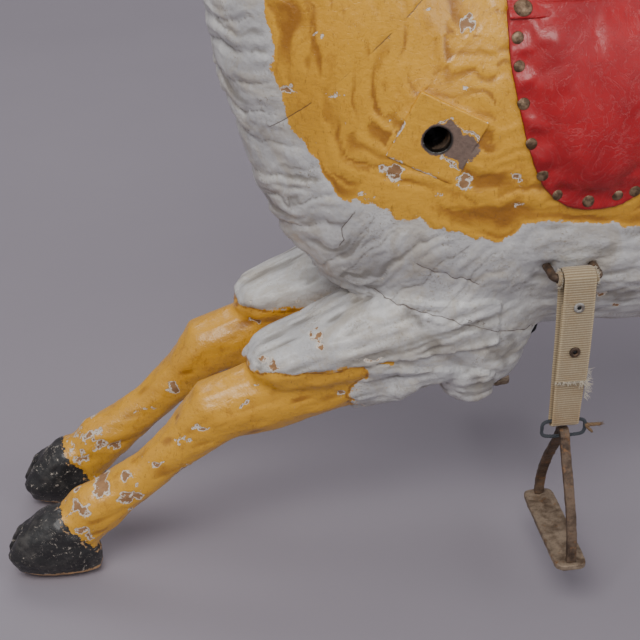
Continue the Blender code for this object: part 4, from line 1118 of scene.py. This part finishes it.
def saddle_flap(side, label, wood):
    """The padded side flap: flat and puckered between its nails, with a stuffed middle."""
    step = 0.0026
    xs = np.arange(-0.060, 0.0841, step)
    zs = np.arange(0.344, 0.5021, step)
    gx, gz = np.meshgrid(xs, zs, indexing="ij")
    depth, _ = outline_distance(gx.ravel(), gz.ravel(), FLAP_OUTLINE)
    faces, used = grid_cells((depth > step * 0.25).reshape(gx.shape))
    x = np.array([xs[i] for i, _ in used])
    z = np.array([zs[j] for _, j in used])
    rim = np.zeros(len(x), dtype=bool)
    for a, b in rim_edges(faces):
        rim[a] = rim[b] = True
    _, near = outline_distance(x, z, FLAP_OUTLINE)
    x, z = np.where(rim, near[:, 0], x), np.where(rim, near[:, 1], z)
    y = []
    for px, pz in zip(x, z):
        hit = wood.ray_cast(Vector((px, side * 0.3, pz)), Vector((0, -side, 0)))[0]
        y.append(hit.y if hit else side * 0.1)
    points, normal = smooth_base(np.column_stack((x, np.array(y), z)), faces, 10)
    normal = normal * np.sign(normal[:, 1] * side)[:, None]
    depth, _ = outline_distance(x, z, FLAP_OUTLINE, closed=False)
    depth = abs(depth)
    nail = nail_distance(x, z, FLAP_NAILS)
    seed = np.column_stack((x, z, np.full(len(x), side * 0.3)))
    between = np.clip((nail - 0.0045) / 0.009, 0, 1)
    hem = ramp(depth, 0.0, 0.004)
    border = 0.0016 + hem * between * 0.0030 + ramp(depth, 0.006, 0.018) * 0.0004
    pleat = noise(seed, (0.0075, 0.011, 0.1), 500) * 0.0012 * ramp(depth, 0.001, 0.006)
    pleat = pleat * (1 - ramp(depth, 0.014, 0.026))
    stuffed = ramp(depth, 0.015, 0.036) * (0.0062 + 0.0012 * noise(seed, 0.06, 510))
    stuffed = stuffed * (1 - 0.62 * ramp(z, FLAP_TOP - 0.016, FLAP_TOP + 0.002))
    thick = border + pleat + stuffed
    made = two_layers(f"padded_{label}_flap", points, normal, faces, np.full(len(x), 0.0005), thick)
    held_front = rim | (nail < 0.0052) | (z > FLAP_TOP + 0.002)
    held = np.concatenate((np.ones(len(x), dtype=bool), held_front))
    swell(made, held, 0.0034, 4.0, 0.012)
    co, _ = arrays(made.data)
    depth, _ = outline_distance(co[:, 0], co[:, 2], FLAP_OUTLINE, closed=False)
    store(made.data, rim=np.clip(1.2 - abs(depth) / 0.0012, 0, 1))
    place(made, FIGURE, "red_leather", LEATHER, f"{label}_saddle_flap")
    return made


def saddle_skirt(wood):
    """The leather over the back, with a thick hem on each side that lies on the flap."""
    across, along = ((110, 54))
    base, hem = [], []
    for i in range(along + 1):
        x = SKIRT_FRONT + 0.139 * i / along
        x += 0.0006 * math.sin(i * 1.9)
        for j in range(across + 1):
            turn = math.pi * (j / across - 0.5)
            direction = Vector((0, math.sin(turn), math.cos(turn)))
            hit = wood.ray_cast(Vector((x, 0, FLAP_TOP)), direction)[0]
            base.append(hit)
            hem.append(abs(hit.z - FLAP_TOP))
    width = across + 1
    corners = [i * width + j for i in range(along) for j in range(across)]
    faces = [[c, c + width, c + width + 1, c + 1] for c in corners]
    points, normal = smooth_base(np.array(base), faces, 8)
    outward = points - np.array([0, 0, 0.47])
    outward[:, 0] = 0
    normal = normal * np.sign((normal * outward).sum(1))[:, None]
    hem = np.array(hem)
    under = 0.0006 + 0.0042 * (1 - ramp(hem, 0.001, 0.013))
    side_depth = np.minimum(points[:, 0] - SKIRT_FRONT, SKIRT_REAR - points[:, 0])
    thick = 0.0022 + 0.0009 * ramp(side_depth, 0.003, 0.012) + 0.0004 * noise(points, 0.02, 520)
    made = two_layers("leather_skirt", points, normal, faces, under, thick)
    rim = np.zeros(len(points), dtype=bool)
    for a, b in rim_edges(faces):
        rim[a] = rim[b] = True
    swell(made, np.concatenate((np.ones(len(points), dtype=bool), rim)), 0.0012, 3.0, 0.004)
    co, _ = arrays(made.data)
    ends = np.minimum(co[:, 0] - SKIRT_FRONT, SKIRT_REAR - co[:, 0])
    depth = np.minimum(ends, abs(co[:, 2] - FLAP_TOP) * 0.8 + 0.0003)
    store(made.data, rim=np.clip(1.2 - depth / 0.0012, 0, 1))
    place(made, FIGURE, "red_leather", LEATHER, "saddle_skirt")
    return made


def saddle_seat():
    """The stuffed seat: blown up from a smaller form, with a welt and nails round its foot."""
    made = joined("stuffed_seat", [NODES["saddle_seat"].data])
    low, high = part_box("saddle_seat")
    middle = (low + high) / 2
    shrink = Matrix.Translation(middle) @ Matrix.Diagonal((0.955, 0.93, 0.9, 1)) @ Matrix.Translation(-middle)
    made.data.transform(shrink)
    made.data.transform(Matrix.Translation((0, 0, -0.0016)))
    remesh(made, 0.0045)
    co, _ = arrays(made.data)
    set_points(made.data, relax(co, edge_array(made.data), np.full(len(co), 0.5), 3))
    co, _ = arrays(made.data)
    held = co[:, 2] < low.z + 0.006
    swell(made, held, 0.006, 4.0)
    co, _ = arrays(made.data)
    co[:, 2] = np.maximum(co[:, 2], low.z + 0.0002)
    set_points(made.data, co)
    store(made.data, rim=np.clip(1 - (co[:, 2] - low.z) / 0.003, 0, 1) * 0.6)
    place(made, FIGURE, "red_leather", LEATHER, "saddle_seat")
    tree = search_tree([made])
    loop, nails = [], []
    for k in range(72):
        turn = 2 * math.pi * k / 72
        direction = Vector((math.cos(turn), math.sin(turn), 0))
        start = Vector((middle.x, 0, low.z + 0.004)) + direction * 0.3
        hit, normal, _, _ = tree.ray_cast(start, -direction)
        if hit:
            loop.append(hit + direction * 0.0008)
        high_start = Vector((middle.x, 0, low.z + 0.0125)) + direction * 0.3
        hit, normal, _, _ = tree.ray_cast(high_start, -direction)
        if hit and k % 3 == 0:
            nails.append((hit, normal))
    welt = tube("seat_welt", loop, 0.0021, 8, closed=True)
    store(welt.data, rim=0.2)
    place(welt, FIGURE, "red_leather", LEATHER)
    return nails


def domed_nails(name, places, radius, *replaced):
    """Forged domed heads, one at each place and along its normal."""
    rng = np.random.default_rng(len(places) * 7 + 3)
    heads = []
    for at, normal in places:
        tilt = Vector(rng.normal(0, 0.07, 3).tolist())
        axis = (Vector(normal) + tilt).normalized()
        r = radius * float(rng.uniform(0.96, 1.05))
        dome = [
            (-0.0006, 0), (-0.0006, r * 0.93), (0.0001, r), (r * 0.11, r * 0.95), (r * 0.22, r * 0.82),
            (r * 0.31, r * 0.62), (r * 0.37, r * 0.34), (r * 0.39, 0),
        ]
        heads.append(turned("head", dome, Vector(at), axis, 22))
    made = joined(name, [h.data for h in heads])
    for head in heads:
        bpy.data.objects.remove(head)
    co, normal = arrays(made.data)
    set_points(made.data, co + normal * (fractal(co, 0.0028, 530, 2) * 0.00022)[:, None])
    made.data.shade_smooth()
    return place(made, FIGURE, "nail_brass", NAIL, *replaced)


def saddle():
    wood = search_tree(WOODWORK)
    skirt = saddle_skirt(wood)
    over_skirt = search_tree([skirt])
    for side, label in SIDES:
        flap = saddle_flap(side, label, wood)
        over_flap = search_tree([flap])
        small = []
        for x, z in FLAP_NAILS:
            hit, normal, _, _ = over_flap.ray_cast(Vector((x, side * 0.3, z)), Vector((0, -side, 0)))
            if hit:
                small.append((hit - normal * 0.0004, normal))
        for x in (-0.0500, 0.0740):
            for z in (0.512, 0.526):
                hit, normal, _, _ = over_skirt.ray_cast(Vector((x, side * 0.3, z)), Vector((0, -side, 0)))
                if hit:
                    small.append((hit - normal * 0.0004, normal))
        domed_nails(f"{label}_flap_nails", small, 0.00475)
        for place_name in ("front", "rear"):
            node = f"{label}_{place_name}_skirt_nail"
            low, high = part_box(node)
            x, z = (low.x + high.x) / 2, (low.z + high.z) / 2
            hit, normal, _, _ = over_skirt.ray_cast(Vector((x, side * 0.3, z)), Vector((0, -side, 0)))
            domed_nails(f"{label}_{place_name}_big_nail", [(hit - normal * 0.0003, normal)], 0.0072, node)
    nails = saddle_seat()
    domed_nails("seat_nails", nails, 0.00475)


saddle()

# ---------------------------------------------------------------- straps, ties and stirrups


def smooth_path(points, spacing):
    """Even points along a smooth curve through the given ones, with the distance travelled."""
    pts = np.array(points, dtype=float)
    pad = np.vstack((2 * pts[0] - pts[1], pts, 2 * pts[-1] - pts[-2]))
    dense = []
    for i in range(len(pts) - 1):
        a, b, c, d = pad[i : i + 4]
        for t in np.linspace(0, 1, 24, endpoint=False):
            square, cube = 2 * a - 5 * b + 4 * c - d, 3 * b - a - 3 * c + d
            dense.append(0.5 * (2 * b + (c - a) * t + square * t ** 2 + cube * t ** 3))
    dense.append(pts[-1])
    dense = np.array(dense)
    travelled = np.concatenate(([0], np.cumsum(np.linalg.norm(np.diff(dense, axis=0), axis=1))))
    at = np.linspace(0, travelled[-1], max(int(travelled[-1] / spacing), 8))
    return np.column_stack([np.interp(at, travelled, dense[:, k]) for k in range(dense.shape[1])]), at


def web_path(take_up):
    """The webbing's middle line in millimetres: cut end, over the bar, down, round the fold and up behind."""
    low = 163.0 + take_up
    turn = lambda r, q, t, z: (r * math.cos(math.radians(t)), z + q * math.sin(math.radians(t)))
    path = [(7.6, 203.5), (8.3, 222.0), (8.6, 240.0), (9.2, 262.0), (9.3, 282.0)]
    path += [turn(9.3, 8.4, t, 293.0) for t in (15, 40, 65, 90)]
    path += [turn(6.7, 8.7, t, 293.0) for t in (125, 150, 180)]
    path += [(-5.7, 270.0), (-4.5, 215.0), (-4.3, low + 6)]
    path += [turn(4.3, 4.3, t, low) for t in (200, 235, 270, 305, 340)]
    path += [(4.3, low + 6), (4.9, 205.0), (5.9, 240.0), (6.6, 274.0)]
    return path


def strap(side, label, take_up):
    """One length of ribbed cotton webbing, narrowed a little where it is tied."""
    path, at = smooth_path(web_path(take_up), 0.42)
    columns = 13
    half_thick = 0.00098
    share = np.linspace(-1, 1, columns)
    rows, groove, soil = [], [], []
    y0 = side * 0.125
    low = 0.163 + take_up / 1000
    for i, (d, z) in enumerate(path):
        before, after = path[max(i - 1, 0)], path[min(i + 1, len(path) - 1)]
        along = (after - before) / max(np.linalg.norm(after - before), 1e-9)
        out = np.array((along[1], -along[0]))
        zz = z / 1000
        near_fold = float(ramp(np.array(zz), low + 0.055, low + 0.004))
        half = 0.0127 - 0.0013 * near_fold
        swing = 0.0004 * math.sin(at[i] / 23.0)
        rib = 0.5 - 0.5 * math.cos(2 * math.pi * at[i] / 2.1)
        ring = []
        for direction in (1, -1):
            for u in share * direction:
                body = half_thick * (1 - abs(u) ** 8) ** 0.5 * (0.8 + 0.26 * rib) * direction
                curl = 0.0005 * near_fold * u * u
                yy = y0 + side * (d / 1000 + out[0] * (body + curl))
                ring.append((0.001 + swing + half * u, yy, zz + out[1] * (body + curl)))
                # groove: painted shade in the valleys between the ribs.
                groove.append((1 - rib) * 0.9)
                soil.append(0.75 * near_fold * (0.55 + 0.45 * abs(u)))
        rows.append(ring)
    count = len(rows[0])
    verts = [p for ring in rows for p in ring]
    faces = []
    for start in range(0, (len(rows) - 1) * count, count):
        for k in range(count):
            n = (k + 1) % count
            faces.append([start + k, start + n, start + count + n, start + count + k])
    faces += [list(range(count)), [(len(rows) - 1) * count + k for k in range(count)][::-1]]
    mesh = bpy.data.meshes.new("webbing")
    mesh.from_pydata(verts, [], faces)
    co = np.array(verts)
    soil = np.clip(np.array(soil) * (0.6 + 0.9 * fractal(co, 0.008, 600, 3)), 0, 1)
    stain = np.clip(fractal(co, 0.014, 610, 3) * 1.6 - 0.55, 0, 0.7)
    store(mesh, groove=np.array(groove), soil=np.maximum(soil, stain))
    bm = bmesh.new()
    bm.from_mesh(mesh)
    bmesh.ops.recalc_face_normals(bm, faces=bm.faces)
    bm.to_mesh(mesh)
    bm.free()
    mesh.shade_smooth()
    made = new_object(f"woven_{label}_strap", mesh)
    place(made, f"{label}_strap_set", "webbing", WEB, f"{label}_strap")


def lint(name, roots, lengths, spread, seed, radius, body, slot, material):
    """Loose fibres: thin bent threads from (point, direction) roots."""
    rng = np.random.default_rng(seed)
    threads = []
    for (at, direction), length in zip(roots, lengths):
        heading = (Vector(direction).normalized() + Vector(rng.normal(0, spread, 3).tolist())).normalized()
        bend = Vector(rng.normal(0, 0.5, 3).tolist())
        points = []
        point = Vector(at)
        for _ in range(5):
            points.append(point.copy())
            heading = (heading + bend * 0.35 + Vector((0, 0, -0.06))).normalized()
            point = point + heading * length / 4
        threads.append(tube("thread", points, [radius, radius, radius * 0.9, radius * 0.75, radius * 0.45], 4))
    made = joined(name, [t.data for t in threads])
    for thread in threads:
        bpy.data.objects.remove(thread)
    return place(made, body, slot, material)


def strap_details(side, label):
    """Eyelets with a black disc of painted shade in each hole, the rolled ends of the webbing on the bar, and the
    fluff of its cut end.
    """
    body = f"{label}_strap_set"
    face = side * (0.125 + 0.0103)
    for level, material in (("upper", EYELET), ("lower", RUST)):
        low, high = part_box(f"{label}_{level}_strap_rivet")
        z = (low.z + high.z) / 2
        outline = [
            (0.0003, 0.0017), (-0.0004, 0.0016), (-0.0010, 0.0019), (-0.0013, 0.0025), (-0.0013, 0.0033),
            (-0.0010, 0.0040), (-0.0004, 0.0044), (0.0003, 0.0045), (0.0003, 0.0022), (0.0070, 0.0021),
            (0.0070, 0.0036), (0.0077, 0.0034), (0.0077, 0.0016), (0.0003, 0.0017),
        ]
        made = turned(f"{label}_{level}_eyelet", outline, (0.001, face, z), (0, -side, 0), 28)
        place(made, body, "rusty_steel", material, f"{label}_{level}_strap_rivet")
        # Painted shade: a black disc fills each eyelet's hole.
        shade_disc_outline = [(-0.0004, 0), (-0.0004, 0.00158), (0.0004, 0.00158), (0.0004, 0)]
        shade_disc = turned("dark_hole", shade_disc_outline, (0.001, face, z), (0, -side, 0), 16)
        shade_disc.name = f"{label}_{level}_eyelet_shade_disc"
        place(shade_disc, body, "black_steel", BLACK)
    rng = np.random.default_rng(40 + side)
    roots, lengths = [], []
    for _ in range(130):
        u = float(rng.uniform(-1, 1))
        corner = u > 0.55
        at = (0.001 + 0.0126 * u, side * (0.125 + 0.0078 + float(rng.uniform(-0.0008, 0.0008))), 0.2040)
        roots.append((at, (0.35 * u, side * 0.5, -0.9)))
        lengths.append(float(rng.uniform(0.0015, 0.0045)) * (2.0 if corner else 1.0))
    for _ in range(70):
        z = float(rng.uniform(0.186, 0.214))
        roots.append(((0.0136, side * (0.125 + 0.0065), z), (1.0, side * 0.3, float(rng.uniform(-0.8, 0.5)))))
        lengths.append(float(rng.uniform(0.002, 0.0075)))
    for x_sign in (-1, 1):
        for _ in range(60):
            turn = float(rng.uniform(0, 2 * math.pi))
            at = (0.001 + x_sign * 0.0135, side * (0.125 + 0.0070 * math.cos(turn)), 0.293 + 0.0070 * math.sin(turn))
            roots.append((at, (x_sign * 0.9, math.cos(turn) * 0.4 * side, math.sin(turn) * 0.5)))
            lengths.append(float(rng.uniform(0.0012, 0.0045)))
    lint(f"{label}_strap_lint", roots, lengths, 0.35, 50 + side, 0.00013, body, "webbing", LINT)
    for x_sign in (-1, 1):
        rings = [
            (0.0, 0.0041), (0.0, 0.0062), (0.0007, 0.0068), (0.0014, 0.0060), (0.0021, 0.0066), (0.0028, 0.0057),
            (0.0034, 0.0050), (0.0034, 0.0041),
        ]
        end_name = "front" if x_sign < 0 else "rear"
        centre = (0.001 + x_sign * 0.0129, side * 0.125, 0.293)
        roll = turned(f"{label}_roll_{end_name}", [*rings, rings[0]], centre, (x_sign, 0, 0), 26)
        co, normal = arrays(roll.data)
        set_points(roll.data, co + normal * (noise(co, 0.0022, 620) * 0.00035)[:, None])
        # The rolls get a flat share of the ribs' painted groove shade, and soil.
        store(roll.data, groove=0.25, soil=0.45)
        place(roll, body, "webbing", WEB)


def ring_point(turn, grow, centre):
    """A point on the tie's squarish loop."""
    c, s = math.cos(turn), math.sin(turn)
    wide = math.copysign(abs(c) ** 0.42, c) * (0.018 + grow)
    tall = math.copysign(abs(s) ** 0.42, s) * (0.0075 + grow)
    return Vector((0.001 + wide, centre.y, centre.z + tall))


def tie(side, label, take_up):
    """Several turns of dark wire twisted together, with brown frayed ends at the rear."""
    body = f"{label}_tie_ring"
    centre = Vector((0.001, side * 0.125, 0.1546 + take_up / 1000))
    strands = []
    steps = 150
    for k in range(4):
        points = []
        for i in range(steps):
            turn = 2 * math.pi * i / steps
            base = ring_point(turn, 0.0, centre)
            before, after = ring_point(turn - 0.02, 0.0, centre), ring_point(turn + 0.02, 0.0, centre)
            along = (after - before).normalized()
            out = along.cross(Vector((0, 1, 0)))
            wind = 9 * turn + k * math.pi / 2
            wobble = 0.00092 + 0.00008 * math.sin(3 * turn + k)
            points.append(base + (out * math.cos(wind) + Vector((0, 1, 0)) * math.sin(wind)) * wobble)
        strands.append(tube("strand", points, 0.00062, 7, closed=True))
    made = joined(f"twisted_{label}_tie", [s.data for s in strands])
    for strand in strands:
        bpy.data.objects.remove(strand)
    place(made, body, "twine", WIRE, f"{label}_tie")
    ends = []
    start = centre + Vector((0.0178, 0, 0.0015))
    for k in range(3):
        for reach, drop, lean in ((0.0135, 0.0012, 0.0022), (0.0070, -0.0072, 0.0014)):
            points = []
            count = 22
            for i in range(count):
                t = i / (count - 1)
                wind = 7.5 * t + k * 2 * math.pi / 3
                swirl = 0.0010 * (1 - 0.35 * t)
                fall = drop * t * (1 if drop < 0 else math.sin(t * 3))
                middle = start + Vector((reach * t, side * lean * math.sin(t * 2.2), fall))
                points.append(middle + Vector((0, math.cos(wind), math.sin(wind))) * swirl)
            ends.append(tube("end", points, [0.00085] * (count - 3) + [0.0007, 0.0006, 0.0004], 6))
    made = joined(f"{label}_tie_ends", [e.data for e in ends])
    for end in ends:
        bpy.data.objects.remove(end)
    place(made, body, "twine", FRAY)
    rng = np.random.default_rng(70 + side)
    roots, lengths = [], []
    for _ in range(46):
        at = start + Vector((0.0132 + float(rng.uniform(-0.003, 0.0)), side * 0.0018, 0.0006))
        at = at + Vector(rng.normal(0, 0.0006, 3).tolist())
        roots.append((at, (1.0, 0, float(rng.uniform(-0.5, 0.5)))))
        lengths.append(float(rng.uniform(0.0015, 0.0040)))
    lint(f"{label}_tie_fray", roots, lengths, 0.3, 80 + side, 0.00013, body, "twine", FRAY)


for side, label in SIDES:
    TAKE_UP = 24.0 if side > 0 else 0.0
    strap(side, label, TAKE_UP)
    strap_details(side, label)
    tie(side, label, TAKE_UP)
    stirrup = f"{label}_stirrup"
    steel = "rusty_steel"
    weathered(f"forged_{label}_bow", f"{stirrup}_bow", 0.0007, stirrup, steel, RUST, 0.0004, 0.005, 1)
    weathered(f"worn_{label}_tread", f"{stirrup}_tread", 0.0007, stirrup, steel, TREAD_RUST, 0.0004, 0.006, 1)
    weathered(f"forged_{label}_hanger", f"{label}_strap_hanger", 0.0008, FIGURE, steel, RUST, 0.0003, 0.004)

# ---------------------------------------------------------------- stage


def area_light(name, location, target, size, power, colour=(1, 1, 1)):
    data = bpy.data.lights.new(name, "AREA")
    data.shape = "RECTANGLE"
    data.size, data.size_y = size
    data.energy = power
    data.color = colour
    light = new_object(name, data)
    light.location = location
    light.rotation_euler = (Vector(target) - Vector(location)).to_track_quat("-Z", "Y").to_euler()


def stage():
    bm = bmesh.new()
    reach, back, rise, radius = 6.0, 2.6, 3.2, 1.2
    profile = [(-5.0, 0.0), (back - radius, 0.0)]
    turns = [math.radians(90 * k / 24) for k in range(1, 25)]
    profile += [(back - radius + radius * math.sin(t), radius - radius * math.cos(t)) for t in turns]
    profile += [(back, rise)]
    rows = [[bm.verts.new((sx * reach, py, pz - 0.0002)) for py, pz in profile] for sx in (-1, 1)]
    for k in range(len(profile) - 1):
        bm.faces.new((rows[0][k], rows[1][k], rows[1][k + 1], rows[0][k + 1]))
    floor = from_bmesh("floor", bm)
    floor.data.materials.append(floor_material())
    world = bpy.data.worlds.new("studio")
    world.use_nodes = True
    world.node_tree.nodes["Background"].inputs["Color"].default_value = (0.93, 0.94, 1.0, 1.0)
    world.node_tree.nodes["Background"].inputs["Strength"].default_value = 0.55
    bpy.context.scene.world = world
    area_light("key", (-0.9, -1.5, 2.3), (-0.1, 0, 0.3), (1.6, 1.2), 52, (1.0, 0.985, 0.96))
    area_light("fill", (1.9, -1.6, 1.5), (0, 0, 0.3), (1.6, 1.6), 22, (0.95, 0.97, 1.0))
    area_light("back", (-0.4, 1.6, 2.3), (-0.1, 0, 0.4), (2.0, 1.0), 24)


def camera():
    data = bpy.data.cameras.new("photo_view")
    data.lens = 84.68
    data.sensor_width = 36.0
    made = new_object("photo_view", data)
    made.location = (-0.347, -1.110, 0.836)
    made.rotation_euler = (Vector((-0.190, -0.06, 0.235)) - made.location).to_track_quat("-Z", "Y").to_euler()
    bpy.context.scene.camera = made


def dress_nodes():
    """The CAD pieces that stay get their finish."""
    looks = {
        "eye": eye_material(), "bracket": BLACK, "dowel": WOOD, "board": WOOD, "sleeve": RUST,
    }
    for name, node in NODES.items():
        match = next((m for key, m in looks.items() if key in name), None)
        if match:
            node.data.materials.clear()
            node.data.materials.append(match)


dress_nodes()
stage()
camera()
